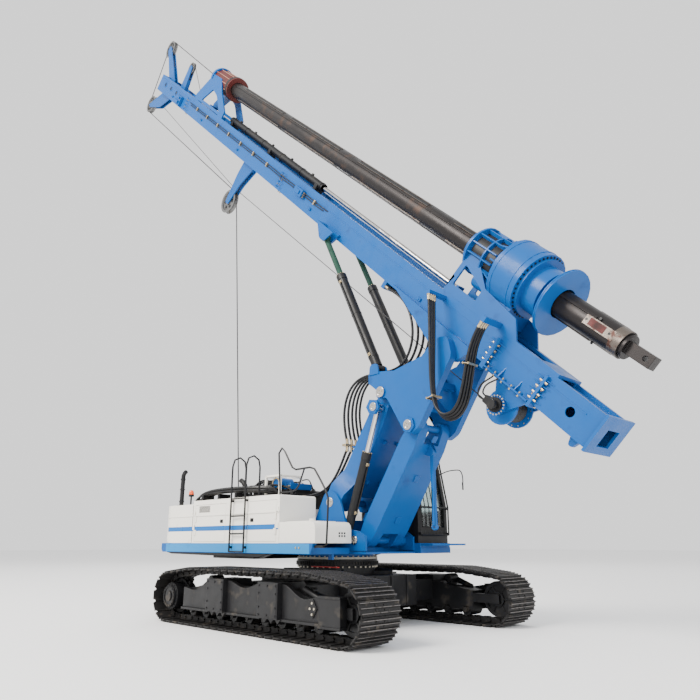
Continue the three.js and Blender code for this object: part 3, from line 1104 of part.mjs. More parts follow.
// ----------------------------------------------------------------------- hoses
// A flat bundle of hoses side by side, along a side-view route.
function hoseBundle(route, { count, middle }) {
  const curve = new THREE.CatmullRomCurve3(route.map(([x, z]) => new THREE.Vector3(x, middle, z)), false,
    'centripetal');
  const wide = ((count - 1) * HOSE.pitch) / 2;
  const side = HOSE.radius * Math.tan(Math.PI / 8);
  const section = new THREE.Shape([
    [wide + HOSE.radius, side], [wide + side, HOSE.radius], [-wide - side, HOSE.radius],
      [-wide - HOSE.radius, side],
    [-wide - HOSE.radius, -side], [-wide - side, -HOSE.radius], [wide + side, -HOSE.radius],
      [wide + HOSE.radius, -side],
  ].map(([across, out]) => new THREE.Vector2(across, out)));
  const steps = Math.ceil(curve.getLength() / (6 * HOSE.radius));
  return solidOf(new THREE.ExtrudeGeometry(section, { steps, extrudePath: curve, bevelEnabled: false }));
}

function hoses(upper) {
  const barLow = HOSE_BAR.z - HOSE_BAR.height / 2 - SEAT;
  const barHigh = HOSE_BAR.z + HOSE_BAR.height / 2 + SEAT;
  const deckFront = DECK_FRONT + SEAT;
  const along = (n, s, steps) => steps.map((step) => fromMast(n, s - step));
  const routes = {
    hoses_deck: [[deckFront, 2230], [-560, 2230], [-300, 2236], [-60, 2262], [150, 2330], [330, 2450],
      [470, 2610],
      [570, 2790], [625, 2930], [HOSE_BAR.x, barLow - 60], [HOSE_BAR.x, barLow]],
    hoses_boom: [[HOSE_BAR.x, barHigh], [HOSE_BAR.x, barHigh + 60], [636, 3300], [632, 3500], [650, 3700],
      [696, 3900],
      [775, 4080], [890, 4210], [1040, 4285], [HOSE_CLAMP.rear - 90, HOSE_CLAMP.z],
        [HOSE_CLAMP.rear - SEAT, HOSE_CLAMP.z]],
    hoses_mast: [[HOSE_CLAMP.front + SEAT, HOSE_CLAMP.z], [HOSE_CLAMP.front + 90, HOSE_CLAMP.z],
      [1700, 4325], [1880, 4375],
      [2020, 4480], [2110, 4640], [2155, 4830], [2150, 5040], [2100, 5260], [2010, 5460], [1890, 5630],
      ...along(MAST_CLAMP.n, MAST_CLAMP.bottom - SEAT, [180, 70, 0])],
  };
  for (const [name, route] of Object.entries(routes)) add(upper, name, hoseBundle(route, HOSE), RUBBER);
  const end = (LOOP_END.bottom + LOOP_END.top) / 2;
  const loop = [[LOOP_TOP.x, LOOP_TOP.bottom - SEAT], [LOOP_TOP.x, LOOP_TOP.bottom - 60], [2945, 5000],
    [2950, 4600],
    [2955, 4200], [2970, 3850], [3010, 3560], [3085, 3370], [3200, 3275], [3330, 3290], [3440, 3400],
      [3520, 3600],
    [3585, 3850], [3650, 4080], [3720, 4270],
      ...[120, 50, 0].map((back) => fromMast(LOOP_END.n - SEAT - back, end))];
  add(upper, 'hoses_loop', hoseBundle(loop, LOOP_HOSE), RUBBER);
}

undercarriage();
const upperGroup = upperBody();
const triangleGroup = linkage(upperGroup);
mastAssembly(triangleGroup);
mastCylinders(triangleGroup);
hoses(upperGroup);

// The origin is the middle of the footprint's bounding box, on the ground.
const bounds = new THREE.Box3().setFromObject(rig, true);
rig.position.set(-(bounds.min.x + bounds.max.x) / 2, -(bounds.min.y + bounds.max.y) / 2, -bounds.min.z);

export default rig;
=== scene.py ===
"""Looks of a rotary piling rig: finishes, trim, hoses, ropes, studio light and camera.

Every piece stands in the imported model's own frame: metres, +X forward, +Y left, +Z up.
Three frames of the machine at rest are used for the details. The upper frame has its origin on
the slewing axis at ground level. The boom's and the mast's frames have Z along the part.
"""

from __future__ import annotations

import json
import logging
import random
from dataclasses import dataclass, field
from enum import Enum
from math import acos, atan2, cos, hypot, pi, radians, sin, tau
from typing import Callable, Iterable, Sequence

import bmesh
import bpy
from mathutils import Matrix, Vector

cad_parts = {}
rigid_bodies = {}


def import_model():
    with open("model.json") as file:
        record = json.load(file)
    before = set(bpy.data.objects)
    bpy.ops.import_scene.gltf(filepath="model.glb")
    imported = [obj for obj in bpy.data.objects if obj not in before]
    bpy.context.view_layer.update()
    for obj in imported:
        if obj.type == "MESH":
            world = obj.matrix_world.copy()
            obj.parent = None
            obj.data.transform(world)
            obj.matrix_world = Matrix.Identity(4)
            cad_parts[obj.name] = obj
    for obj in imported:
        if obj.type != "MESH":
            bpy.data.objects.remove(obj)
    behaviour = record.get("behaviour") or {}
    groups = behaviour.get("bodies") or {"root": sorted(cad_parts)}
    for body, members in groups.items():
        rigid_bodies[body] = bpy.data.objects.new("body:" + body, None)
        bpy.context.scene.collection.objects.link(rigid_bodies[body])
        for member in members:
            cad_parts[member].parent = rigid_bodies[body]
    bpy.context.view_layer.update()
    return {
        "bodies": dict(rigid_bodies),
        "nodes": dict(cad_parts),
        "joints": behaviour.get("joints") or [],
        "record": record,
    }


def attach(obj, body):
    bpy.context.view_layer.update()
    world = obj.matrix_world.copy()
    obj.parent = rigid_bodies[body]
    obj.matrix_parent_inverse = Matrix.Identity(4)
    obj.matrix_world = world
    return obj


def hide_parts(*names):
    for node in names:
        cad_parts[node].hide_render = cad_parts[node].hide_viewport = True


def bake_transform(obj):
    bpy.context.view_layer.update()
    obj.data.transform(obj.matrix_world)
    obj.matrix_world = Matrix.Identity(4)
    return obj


LOG = logging.getLogger("rig")
Point = Sequence[float]
Outline = Sequence[tuple[float, float]]
SKIN = 0.003  # how far a painted band or a thin plate stands out of the sheet behind it
SIDES = (-1, 1)
Solid = tuple[list[Vector], list[tuple[int, ...]]]  # corners, and faces by the corners' numbers
BLOCK_FACES = ((0, 1, 2, 3), (7, 6, 5, 4), (0, 4, 5, 1), (1, 5, 6, 2), (2, 6, 7, 3), (3, 7, 4, 0))
WEDGE_FACES = ((0, 1, 2), (5, 4, 3), (0, 3, 4, 1), (1, 4, 5, 2), (2, 5, 3, 0))


# ------------------------------------------------------------------ finishes
class Slot(str, Enum):
    """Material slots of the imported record."""

    BLUE = "blue_paint"
    WHITE = "white_paint"
    BLACK = "black_paint"
    TRACK = "track_steel"
    KELLY = "kelly_steel"
    SHEAVE = "sheave_steel"
    CHROME = "chrome_rod"
    RUST = "rust_paint"
    SLEEVE = "green_sleeve"
    HOSE = "hose_rubber"
    SEAT = "seat_vinyl"


@dataclass(frozen=True)
class Finish:
    """A procedural surface: a base colour, worn or dirty in patches, with a grain of its own.

    Attributes:
        name: Name of the Blender material.
        colour: Linear base colour.
        roughness: Roughness of the clean surface.
        metallic: Metallic share.
        patch: Colour of the dirt, dust or wear.
        amount: Share of the surface that the patches cover, 0 to 1.
        scale: Patches per metre.
        grain: Strength of the fine bump.
        grain_scale: Grains per metre.
        coat: Clear coat weight.
        stretch: How the patches are drawn out along X, Y and Z.
        clear: Share of light that passes through.
        shine: Specular level of the surface.
        slot: The record's slot that pieces of this finish belong to.
    """

    name: str
    colour: tuple[float, float, float]
    roughness: float
    metallic: float = 0.0
    patch: tuple[float, float, float] = (0.2, 0.2, 0.2)
    amount: float = 0.2
    scale: float = 3.0
    grain: float = 0.05
    grain_scale: float = 90.0
    coat: float = 0.0
    stretch: tuple[float, float, float] = (1.0, 1.0, 1.0)
    clear: float = 0.0
    shine: float = 0.3
    slot: Slot | None = None

    def material(self) -> bpy.types.Material:
        """Builds the material once, and returns the same one from then on.

        Returns:
            The Blender material of this finish.
        """
        known = bpy.data.materials.get("finish_" + self.name)
        if known is not None:
            return known
        material = bpy.data.materials.new("finish_" + self.name)
        material.use_nodes = True
        nodes = material.node_tree.nodes
        link = material.node_tree.links.new
        shader = nodes["Principled BSDF"]
        shader.inputs["Metallic"].default_value = self.metallic
        shader.inputs["Coat Weight"].default_value = self.coat
        shader.inputs["Coat Roughness"].default_value = 0.08
        shader.inputs["Transmission Weight"].default_value = self.clear
        shader.inputs["Specular IOR Level"].default_value = self.shine
        place = nodes.new("ShaderNodeTexCoord")
        mapping = nodes.new("ShaderNodeMapping")
        mapping.inputs["Scale"].default_value = self.stretch
        link(place.outputs["Object"], mapping.inputs["Vector"])
        broad = self._noise(nodes, link, mapping, self.scale, 9.0)
        fine = self._noise(nodes, link, mapping, self.grain_scale, 3.0)
        edge = 0.70 - 0.30 * self.amount
        mask = self._remap(nodes, link, broad, (edge, edge + 0.12), (0.0, 1.0))
        colour = nodes.new("ShaderNodeMix")
        colour.data_type = "RGBA"
        colour.inputs["A"].default_value = (*self.colour, 1.0)
        colour.inputs["B"].default_value = (*self.patch, 1.0)
        link(mask, colour.inputs["Factor"])
        link(colour.outputs["Result"], shader.inputs["Base Color"])
        low = max(self.roughness - 0.08, 0.04)
        rough = self._remap(nodes, link, broad, (0.3, 0.8), (low, min(self.roughness + 0.2, 1.0)))
        link(rough, shader.inputs["Roughness"])
        if self.grain:
            bump = nodes.new("ShaderNodeBump")
            bump.inputs["Strength"].default_value = self.grain
            bump.inputs["Distance"].default_value = 0.01
            link(fine, bump.inputs["Height"])
            link(bump.outputs["Normal"], shader.inputs["Normal"])
        return material

    @staticmethod
    def _noise(nodes: bpy.types.Nodes, link: Callable, mapping: bpy.types.Node, scale: float,
               detail: float) -> bpy.types.NodeSocket:
        """Adds a noise texture on the mapped coordinates.

        Args:
            nodes: The material's nodes.
            link: Joins two sockets.
            mapping: The node that gives the coordinates.
            scale: How fine the noise is.
            detail: How many finer layers it has.

        Returns:
            The noise's value socket.
        """
        noise = nodes.new("ShaderNodeTexNoise")
        noise.inputs["Scale"].default_value = scale
        noise.inputs["Detail"].default_value = detail
        link(mapping.outputs["Vector"], noise.inputs["Vector"])
        return noise.outputs["Fac"]

    @staticmethod
    def _remap(nodes: bpy.types.Nodes, link: Callable, value: bpy.types.NodeSocket, source: tuple[float, float],
               target: tuple[float, float]) -> bpy.types.NodeSocket:
        """Adds a map range node.

        Args:
            nodes: The material's nodes.
            link: Joins two sockets.
            value: The socket to remap.
            source: The range it comes in.
            target: The range it leaves in.

        Returns:
            The result's socket.
        """
        remap = nodes.new("ShaderNodeMapRange")
        remap.inputs["From Min"].default_value, remap.inputs["From Max"].default_value = source
        remap.inputs["To Min"].default_value, remap.inputs["To Max"].default_value = target
        link(value, remap.inputs["Value"])
        return remap.outputs["Result"]


BLUE = Finish("blue_paint", (0.0, 0.080, 0.30), 0.36, patch=(0.0, 0.055, 0.22), amount=0.3, coat=0.05,
              grain=0.02, shine=0.22, slot=Slot.BLUE)
WHITE = Finish("white_paint", (0.86, 0.83, 0.76), 0.4, patch=(0.68, 0.64, 0.56), amount=0.15, coat=0.25,
               grain=0.02, slot=Slot.WHITE)
PALE_BLUE = Finish("pale_blue_paint", (0.004, 0.21, 0.52), 0.36, patch=(0.01, 0.17, 0.42), amount=0.2, coat=0.05,
                   shine=0.22, slot=Slot.BLUE)
STRIPE = Finish("stripe_paint", (0.0, 0.12, 0.40), 0.34, patch=(0.0, 0.10, 0.33), amount=0.2, grain=0.02,
                shine=0.22, slot=Slot.BLUE)
BLACK = Finish("black_paint", (0.007, 0.007, 0.008), 0.42, patch=(0.022, 0.020, 0.018), amount=0.35,
               grain=0.06, slot=Slot.BLACK)
FRAME_BLACK = Finish("frame_paint", (0.008, 0.008, 0.009), 0.45, patch=(0.040, 0.034, 0.028), amount=0.4, scale=4.0,
                     grain=0.10, slot=Slot.BLACK)
TRACK = Finish("track_steel", (0.022, 0.021, 0.021), 0.5, 0.4, patch=(0.075, 0.064, 0.054), amount=0.45, scale=9.0,
               grain=0.3, slot=Slot.TRACK)
KELLY = Finish("kelly_steel", (0.030, 0.027, 0.027), 0.36, 0.75, patch=(0.060, 0.040, 0.032), amount=0.4, scale=2.4,
               grain=0.12, stretch=(1.0, 3.0, 1.0), slot=Slot.KELLY)
SHEAVE = Finish("sheave_steel", (0.16, 0.16, 0.16), 0.38, 0.7, patch=(0.05, 0.04, 0.03), amount=0.4, scale=9.0,
                slot=Slot.SHEAVE)
CHROME = Finish("chrome_rod", (0.62, 0.60, 0.58), 0.14, 1.0, patch=(0.5, 0.46, 0.42), amount=0.1, grain=0.01,
                slot=Slot.CHROME)
RUST = Finish("rust_paint", (0.085, 0.014, 0.012), 0.5, 0.1, patch=(0.035, 0.012, 0.010), amount=0.4, scale=4.0,
              grain=0.15, slot=Slot.RUST)
RIB = Finish("rib_paint", (0.30, 0.15, 0.11), 0.5, patch=(0.16, 0.06, 0.05), amount=0.35, scale=6.0, slot=Slot.RUST)
SLEEVE = Finish("green_sleeve", (0.010, 0.050, 0.032), 0.7, patch=(0.006, 0.022, 0.018), amount=0.4, scale=6.0,
                grain=0.4, grain_scale=60.0, slot=Slot.SLEEVE)
HOSE = Finish("hose_rubber", (0.007, 0.007, 0.008), 0.34, patch=(0.03, 0.027, 0.024), amount=0.3, scale=12.0,
              grain=0.1, grain_scale=300.0, slot=Slot.HOSE)
SEAT = Finish("seat_vinyl", (0.012, 0.012, 0.014), 0.55, patch=(0.03, 0.03, 0.03), amount=0.2, scale=8.0,
              grain=0.3, slot=Slot.SEAT)
FITTING = Finish("fitting_steel", (0.50, 0.40, 0.24), 0.3, 0.9, patch=(0.3, 0.22, 0.13), amount=0.35, scale=15.0)
BOLT = Finish("bolt_zinc", (0.48, 0.44, 0.36), 0.32, 0.8, patch=(0.25, 0.21, 0.16), amount=0.3, scale=20.0)
AMBER = Finish("beacon_amber", (0.80, 0.09, 0.01), 0.25, patch=(0.6, 0.05, 0.01), amount=0.2, coat=0.6)
RED = Finish("marker_red", (0.35, 0.008, 0.008), 0.4, patch=(0.25, 0.01, 0.01), amount=0.3)
CREAM = Finish("pedestal_paint", (0.50, 0.47, 0.40), 0.45, patch=(0.30, 0.26, 0.20), amount=0.35, scale=5.0)
ROPE = Finish("rope_wire", (0.06, 0.06, 0.062), 0.5, 0.6, patch=(0.03, 0.025, 0.02), amount=0.4, scale=30.0,
              grain=0.6, grain_scale=300.0)
GLASS = Finish("cab_glass", (0.62, 0.72, 0.72), 0.08, patch=(0.55, 0.66, 0.66), amount=0.2, grain=0.0, clear=1.0)
LENS = Finish("lamp_lens", (0.75, 0.75, 0.72), 0.15, patch=(0.6, 0.6, 0.58), amount=0.2, coat=0.6, grain=0.02)
WORN = Finish("worn_steel", (0.13, 0.11, 0.095), 0.35, 0.8, patch=(0.07, 0.035, 0.028), amount=0.5, scale=8.0,
              grain=0.2, slot=Slot.KELLY)
# Lighter steel for the grouser tips: partly real wear, partly painted highlight for the bright lines along the grouser
# edges.
TIP_WEAR_AND_HIGHLIGHT = Finish("tip_wear_and_highlight", (0.14, 0.13, 0.125), 0.4, 0.6, patch=(0.05, 0.045, 0.04), amount=0.5, scale=14.0,
                    grain=0.1, slot=Slot.TRACK)
FLOOR = Finish("studio_floor", (0.90, 0.90, 0.90), 0.9, patch=(0.88, 0.88, 0.88), amount=0.2, grain=0.0)

FINISHES = (BLUE, WHITE, BLACK, TRACK, KELLY, SHEAVE, CHROME, RUST, SLEEVE, HOSE, SEAT)
BY_SLOT = {finish.slot: finish for finish in FINISHES}
OWN_FINISH = {"track_frame_right": FRAME_BLACK, "track_frame_left": FRAME_BLACK, "car_body": FRAME_BLACK}
EDGE_ROUNDING = 0.006  # rounding of the CAD nodes' edges


# ------------------------------------------------------------ mesh modelling
def spline(points: Sequence[Point], steps: int = 8) -> list[Vector]:
    """Samples a centripetal smooth line through points.

    Args:
        points: Points that the line passes through.
        steps: Samples between two points.

    Returns:
        The sampled line, ends included.
    """
    line = [Vector(p) for p in points]
    ends = [line[0] * 2 - line[1], *line, line[-1] * 2 - line[-2]]
    out: list[Vector] = []
    for a, b, c, d in zip(ends, ends[1:], ends[2:], ends[3:]):
        before, here, after = ((q - p).length ** 0.5 for p, q in ((a, b), (b, c), (c, d)))
        leave = ((b - a) / before - (c - a) / (before + here) + (c - b) / here) * here
        arrive = ((c - b) / here - (d - b) / (here + after) + (d - c) / after) * here
        for i in range(steps):
            t = i / steps
            out.append(b + leave * t + (3 * (c - b) - 2 * leave - arrive) * t ** 2
                       + (2 * (b - c) + leave + arrive) * t ** 3)
    out.append(line[-1])
    return out


def run_length(path: Sequence[Vector]) -> float:
    """Length of a line given by its points."""
    return sum((b - a).length for a, b in zip(path, path[1:]))


def circle(centre: Point, axis: Point, radius: float, count: int, turn: float = 0.0) -> list[Vector]:
    """Points spread evenly on a circle.

    Args:
        centre: The circle's middle.
        axis: Its axis.
        radius: Its radius.
        count: How many points.
        turn: Angle of the first point.

    Returns:
        The points.
    """
    way = Vector(axis).normalized()
    side = way.orthogonal().normalized()
    other = way.cross(side)
    angles = (turn + tau * k / count for k in range(count))
    return [Vector(centre) + side * (radius * cos(a)) + other * (radius * sin(a)) for a in angles]


def smooth(mesh: bpy.types.Mesh, angle: float = 32.0) -> None:
    """Shades a mesh smooth and keeps its sharp edges sharp."""
    mesh.polygons.foreach_set("use_smooth", [True] * len(mesh.polygons))
    mesh.set_sharp_from_angle(angle=radians(angle))


@dataclass
class Shape:
    """A mesh put together from simple closed bodies, each given in the frame that is set at the time.

    Attributes:
        frame: Turns the shape's own coordinates into the row frame.
    """

    frame: Matrix = field(default_factory=lambda: Matrix.Identity(4))
    points: list[Vector] = field(default_factory=list)
    faces: list[tuple[int, ...]] = field(default_factory=list)

    def add(self, points: Iterable[Point], faces: Iterable[Sequence[int]]) -> None:
        """Adds a body, given in the shape's own frame.

        Args:
            points: The body's corners.
            faces: Its faces, by the corners' numbers.
        """
        base = len(self.points)
        self.points += [self.frame @ Vector(p) for p in points]
        self.faces += [tuple(base + i for i in face) for face in faces]

    def box(self, low: Point, high: Point) -> None:
        """Adds a box between two opposite corners.

        Args:
            low: One corner.
            high: The opposite corner.
        """
        x0, y0, z0 = (min(a, b) for a, b in zip(low, high))
        x1, y1, z1 = (max(a, b) for a, b in zip(low, high))
        corners = [(x, y, z) for z in (z0, z1) for x, y in ((x0, y0), (x1, y0), (x1, y1), (x0, y1))]
        self.add(corners, [(3, 2, 1, 0), (4, 5, 6, 7), (0, 1, 5, 4), (1, 2, 6, 5), (2, 3, 7, 6), (3, 0, 4, 7)])

    def tube(self, path: Sequence[Point], radius: float, sides: int = 8, taper: float = 1.0) -> None:
        """Adds a round bar along a path, with closed ends.

        Args:
            path: Points of the middle line.
            radius: Radius at the start.
            sides: Sides of its section.
            taper: The end's radius as a share of the start's.
        """
        line = [Vector(p) for p in path]
        last = len(line) - 1
        side = (line[1] - line[0]).orthogonal().normalized()
        points: list[Vector] = []
        for i, at in enumerate(line):
            way = (line[min(i + 1, last)] - line[max(i - 1, 0)]).normalized()
            side = (side - way * side.dot(way)).normalized()
            other = way.cross(side)
            grown = radius * (1 + (taper - 1) * i / last)
            for k in range(sides):
                angle = tau * k / sides
                points.append(at + side * (grown * cos(angle)) + other * (grown * sin(angle)))
        faces: list[tuple[int, ...]] = [tuple(reversed(range(sides))), tuple(last * sides + k for k in range(sides))]
        for i in range(last):
            for k in range(sides):
                n = (k + 1) % sides
                faces.append((i * sides + k, i * sides + n, (i + 1) * sides + n, (i + 1) * sides + k))
        self.add(points, faces)

    def rod(self, start: Point, end: Point, radius: float, sides: int = 16, taper: float = 1.0) -> None:
        """Adds a straight round bar."""
        self.tube([start, end], radius, sides, taper)

    def disc(self, centre: Point, axis: Point, radius: float, thick: float, sides: int = 24) -> None:
        """Adds a disc that stands out from centre along axis."""
        self.rod(centre, Vector(centre) + Vector(axis).normalized() * thick, radius, sides)

    def ring(self, centre: Point, axis: Point, outer: float, inner: float, thick: float, sides: int = 32) -> None:
        """Adds a flat ring that stands out from centre along axis.

        Args:
            centre: The middle of the ring's foot.
            axis: The way it stands out.
            outer: Its outer radius.
            inner: Its inner radius.
            thick: Its thickness along the axis.
            sides: The steps round it.
        """
        way = Vector(axis).normalized() * thick
        inside = circle(centre, axis, inner, sides)
        outside = circle(centre, axis, outer, sides)
        points = [p for a, b in zip(inside, outside) for p in (a, b, b + way, a + way)]
        faces = []
        for k in range(sides):
            n = (k + 1) % sides
            for j in range(4):
                m = (j + 1) % 4
                faces.append((4 * k + j, 4 * k + m, 4 * n + m, 4 * n + j))
        self.add(points, faces)

    def turned(self, centre: Point, axis: Point, profile: Sequence[tuple[float, float]], sides: int = 40) -> None:
        """Adds a body turned on a lathe.

        Args:
            centre: A point on its axis.
            axis: The axis.
            profile: Its closed outline, as radius and distance along the axis.
            sides: Steps round the axis.
        """
        way = Vector(axis).normalized()
        points = [p + way * along for radius, along in profile for p in circle(centre, axis, radius, sides)]
        count = len(profile)
        faces = [(i * sides + k, i * sides + (k + 1) % sides, (i + 1) % count * sides + (k + 1) % sides,
                  (i + 1) % count * sides + k) for i in range(count) for k in range(sides)]
        self.add(points, faces)

    def bolts(self, places: Iterable[Point], axis: Point, size: float = 0.018, height: float = 0.014) -> None:
        """Adds hexagonal bolt heads that stand out along axis."""
        for place in places:
            self.disc(place, axis, size, height, 6)

    def plate(self, outline: Outline, y0: float, y1: float) -> None:
        """Adds a plate whose outline is given in X and Z, thick along Y.

        Args:
            outline: X and Z of its corners.
            y0: Y of one face.
            y1: Y of the other.
        """
        count = len(outline)
        points = [(x, y, z) for y in (y0, y1) for x, z in outline]
        faces = [tuple(range(count)), tuple(reversed(range(count, 2 * count)))]
        faces += [(k, k + count, (k + 1) % count + count, (k + 1) % count) for k in range(count)]
        self.add(points, faces)

    def band(self, path: Outline, low: float, high: float, thick: float) -> None:
        """Adds an upright band along a path seen from above, with its thickness to the path's right.

        Args:
            path: X and Y of its line.
            low: Z of its lower edge.
            high: Z of its upper edge.
            thick: Its thickness.
        """
        line = [Vector((x, y, 0)) for x, y in path]
        last = len(line) - 1
        points: list[Vector] = []
        for i, at in enumerate(line):
            way = (line[min(i + 1, last)] - line[max(i - 1, 0)]).normalized()
            off = Vector((way.y, -way.x, 0)) * thick
            points += [at + Vector((0, 0, low)), at + off + Vector((0, 0, low)), at + off + Vector((0, 0, high)),
                       at + Vector((0, 0, high))]
        faces: list[tuple[int, ...]] = [(0, 1, 2, 3), tuple(4 * last + k for k in (3, 2, 1, 0))]
        for i in range(last):
            for j in range(4):
                m = (j + 1) % 4
                faces.append((4 * i + j, 4 * (i + 1) + j, 4 * (i + 1) + m, 4 * i + m))
        self.add(points, faces)

    def piece(self, name: str, finish: Finish, body: str | None, bevel: float = 0.0,
              rounds: int = 0) -> bpy.types.Object:
        """Makes the Blender object.

        Args:
            name: Name of the piece.
            finish: Its surface.
            body: The body that it rides on, or None.
            bevel: Width of its rounded edges, or 0.
            rounds: Levels of subdivision.

        Returns:
            The new object.
        """
        mesh = bpy.data.meshes.new(name)
        mesh.from_pydata(self.points, [], self.faces)
        fixed = bmesh.new()
        fixed.from_mesh(mesh)
        bmesh.ops.recalc_face_normals(fixed, faces=fixed.faces)
        fixed.to_mesh(mesh)
        fixed.free()
        mesh.materials.append(finish.material())
        smooth(mesh)
        thing = bpy.data.objects.new(name, mesh)
        bpy.context.scene.collection.objects.link(thing)
        if bevel:
            rounding = thing.modifiers.new("rounding", "BEVEL")
            rounding.width = bevel
            rounding.segments = 2
            rounding.limit_method = "ANGLE"
        if rounds:
            thing.modifiers.new("rounds", "SUBSURF").levels = rounds
            thing.modifiers["rounds"].render_levels = rounds
        if body is not None:
            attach(thing, body)
        LOG.info("%s: %d faces on %s", name, len(self.faces), body)
        return thing


# -------------------------------------------------------------------- frames
def upright(origin: Vector, along: Vector) -> Matrix:
    """A frame whose Z runs along a direction in the X-Z plane and whose Y is the machine's left.

    Args:
        origin: The frame's origin.
        along: Direction of its Z axis.

    Returns:
        The frame as a matrix.
    """
    left = Vector((0, 1, 0))
    way = along.normalized()
    frame = Matrix((left.cross(way), left, way)).transposed().to_4x4()
    frame.translation = origin
    return frame


def flat(point: Vector) -> Vector:
    """The point moved to the machine's middle plane."""
    return Vector((point.x, 0, point.z))


@dataclass(frozen=True)
class Places:
    """Frames of the machine's main parts at rest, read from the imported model.

    Attributes:
        upper: Origin on the slewing axis at ground level.
        boom: Origin on the boom's foot pin, Z towards the triangle.
        link: The same for the front link.
        mast: Origin at the foot of the mast's front face, Z towards the head, X to the front.
        luffing: Origin on the luffing cylinders' foot pins, Z along the rods.
        leaning: Origin on the mast cylinders' foot pins, Z along the rods.
    """

    upper: Matrix
    boom: Matrix
    link: Matrix
    mast: Matrix
    luffing: Matrix
    leaning: Matrix

    MAST_PIN = (-0.66, 2.83)  # the mast's hinge in its own frame

    def about(self, axis: float, turn: float) -> Matrix:
        """The mast's frame, moved forwards to an axis and turned about it."""
        return self.mast @ Matrix.Translation((axis, 0, 0)) @ Matrix.Rotation(turn, 4, "Z")

    @classmethod
    def read(cls, joints: Sequence[dict]) -> "Places":
        """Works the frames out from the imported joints.

        Args:
            joints: The record's joints.

        Returns:
            The frames.
        """
        at = {j["name"]: Vector(j["pos_m"]) for j in joints if j.get("pos_m")}
        axis = {j["name"]: Vector(j["axis"]) for j in joints}
        rise = at["triangle_level"] - at["boom_hinge"]
        mast = upright(Vector((0, 0, 0)), axis["crowd"])
        across, along = cls.MAST_PIN
        mast.translation = at["mast_hinge"] - mast.to_3x3() @ Vector((across, 0, along))
        return cls(
            upper=Matrix.Translation((at["slew"].x, 0, 0)),
            boom=upright(at["boom_hinge"], rise),
            link=upright(at["front_link_hinge"], rise),
            mast=mast,
            luffing=upright(flat(at["luffing_barrel_hinge"]), axis["luffing_stroke"]),
            leaning=upright(flat(at["mast_cylinder_hinge"]), axis["mast_cylinder_stroke"]),
        )


@dataclass
class Assembly:
    """A sub-assembly. Its sizes are fields, in metres, in the frame that each of its methods builds in.

    Attributes:
        places: The machine's frames.
    """

    places: Places

    def on_upper(self) -> Shape:
        """An empty shape in the upper's frame."""
        return Shape(self.places.upper)

    def on_mast(self) -> Shape:
        """An empty shape in the mast's frame."""
        return Shape(self.places.mast)


# -------------------------------------------------------------------- studio
@dataclass
class Studio:
    """Floor, soft lights and camera.

    Attributes:
        eye: Place of the camera.
        heading: Direction that it looks in, in degrees from +X towards +Y.
        pitch: How far it looks up, in degrees.
        lens: Focal length for a 36 mm wide sensor.
    """

    eye: tuple[float, float, float] = (11.002, -8.572, 1.382)
    heading: float = 135.591
    pitch: float = 16.629
    lens: float = 33.16
    floor_half: float = 120.0

    def camera(self) -> None:
        """Makes the scene's camera."""
        data = bpy.data.cameras.new("camera")
        data.lens = self.lens
        data.sensor_width = 36.0
        data.clip_end = 500.0
        camera = bpy.data.objects.new("camera", data)
        bpy.context.scene.collection.objects.link(camera)
        turn, up = radians(self.heading), radians(self.pitch)
        look = Vector((cos(turn) * cos(up), sin(turn) * cos(up), sin(up)))
        camera.location = self.eye
        camera.rotation_mode = "QUATERNION"
        camera.rotation_quaternion = look.to_track_quat("-Z", "Y")
        bpy.context.scene.camera = camera

    def floor(self) -> None:
        """Lays the pale floor."""
        shape = Shape()
        half = self.floor_half
        shape.box((-half, -half, -0.05), (half, half, 0.0))
        shape.piece("floor", FLOOR, None)

    def lights(self) -> None:
        """Hangs the soft lights and sets the sky's pale glow."""
        self._area("key", (-2.0, -26.0, 24.0), 14.0, 18000.0, (1.0, 0.96, 0.90))
        self._area("fill", (26.0, -8.0, 12.0), 16.0, 2600.0, (0.93, 0.97, 1.0))
        self._area("rim", (-20.0, 20.0, 22.0), 16.0, 3200.0, (1.0, 1.0, 1.0))
        world = bpy.data.worlds.new("world")
        world.use_nodes = True
        world.node_tree.nodes["Background"].inputs["Color"].default_value = (1.0, 1.0, 1.0, 1.0)
        world.node_tree.nodes["Background"].inputs["Strength"].default_value = 1.35
        bpy.context.scene.world = world

    @staticmethod
    def _area(name: str, place: Point, size: float, power: float, colour: Point) -> None:
        """Hangs one square area light that points at the machine's middle.

        Args:
            name: The light's name.
            place: Where it hangs.
            size: The square's side.
            power: Its power in watts.
            colour: Its colour.
        """
        data = bpy.data.lights.new(name, "AREA")
        data.size = size
        data.energy = power
        data.color = colour
        light = bpy.data.objects.new(name, data)
        bpy.context.scene.collection.objects.link(light)
        light.location = place
        aim = Vector((0.0, 0.0, 6.0)) - Vector(place)
        light.rotation_mode = "QUATERNION"
        light.rotation_quaternion = aim.to_track_quat("-Z", "Y")


# --------------------------------------------------------------------- hoses
@dataclass(frozen=True)
class HoseRoute:
    """A row of equal hoses side by side, between two clamps.

    Attributes:
        node: The CAD node that the row stands for.
        bodies: The bodies at its two ends.
        count: How many hoses.
        middle: Y of the row's middle at its start and at its end.
        pitch: Distance between neighbours at its start and at its end.
        fan: How far the last hose bows out of the row's route, and how far the row spreads sideways there.
        points: The route's X and Z in the upper frame.
        lean: How far the row's middle moves sideways halfway.
    """

    node: str
    bodies: tuple[str, str]
    count: int
    middle: tuple[float, float]
    pitch: tuple[float, float]
    fan: tuple[float, float]
    points: Outline
    lean: float = 0.0


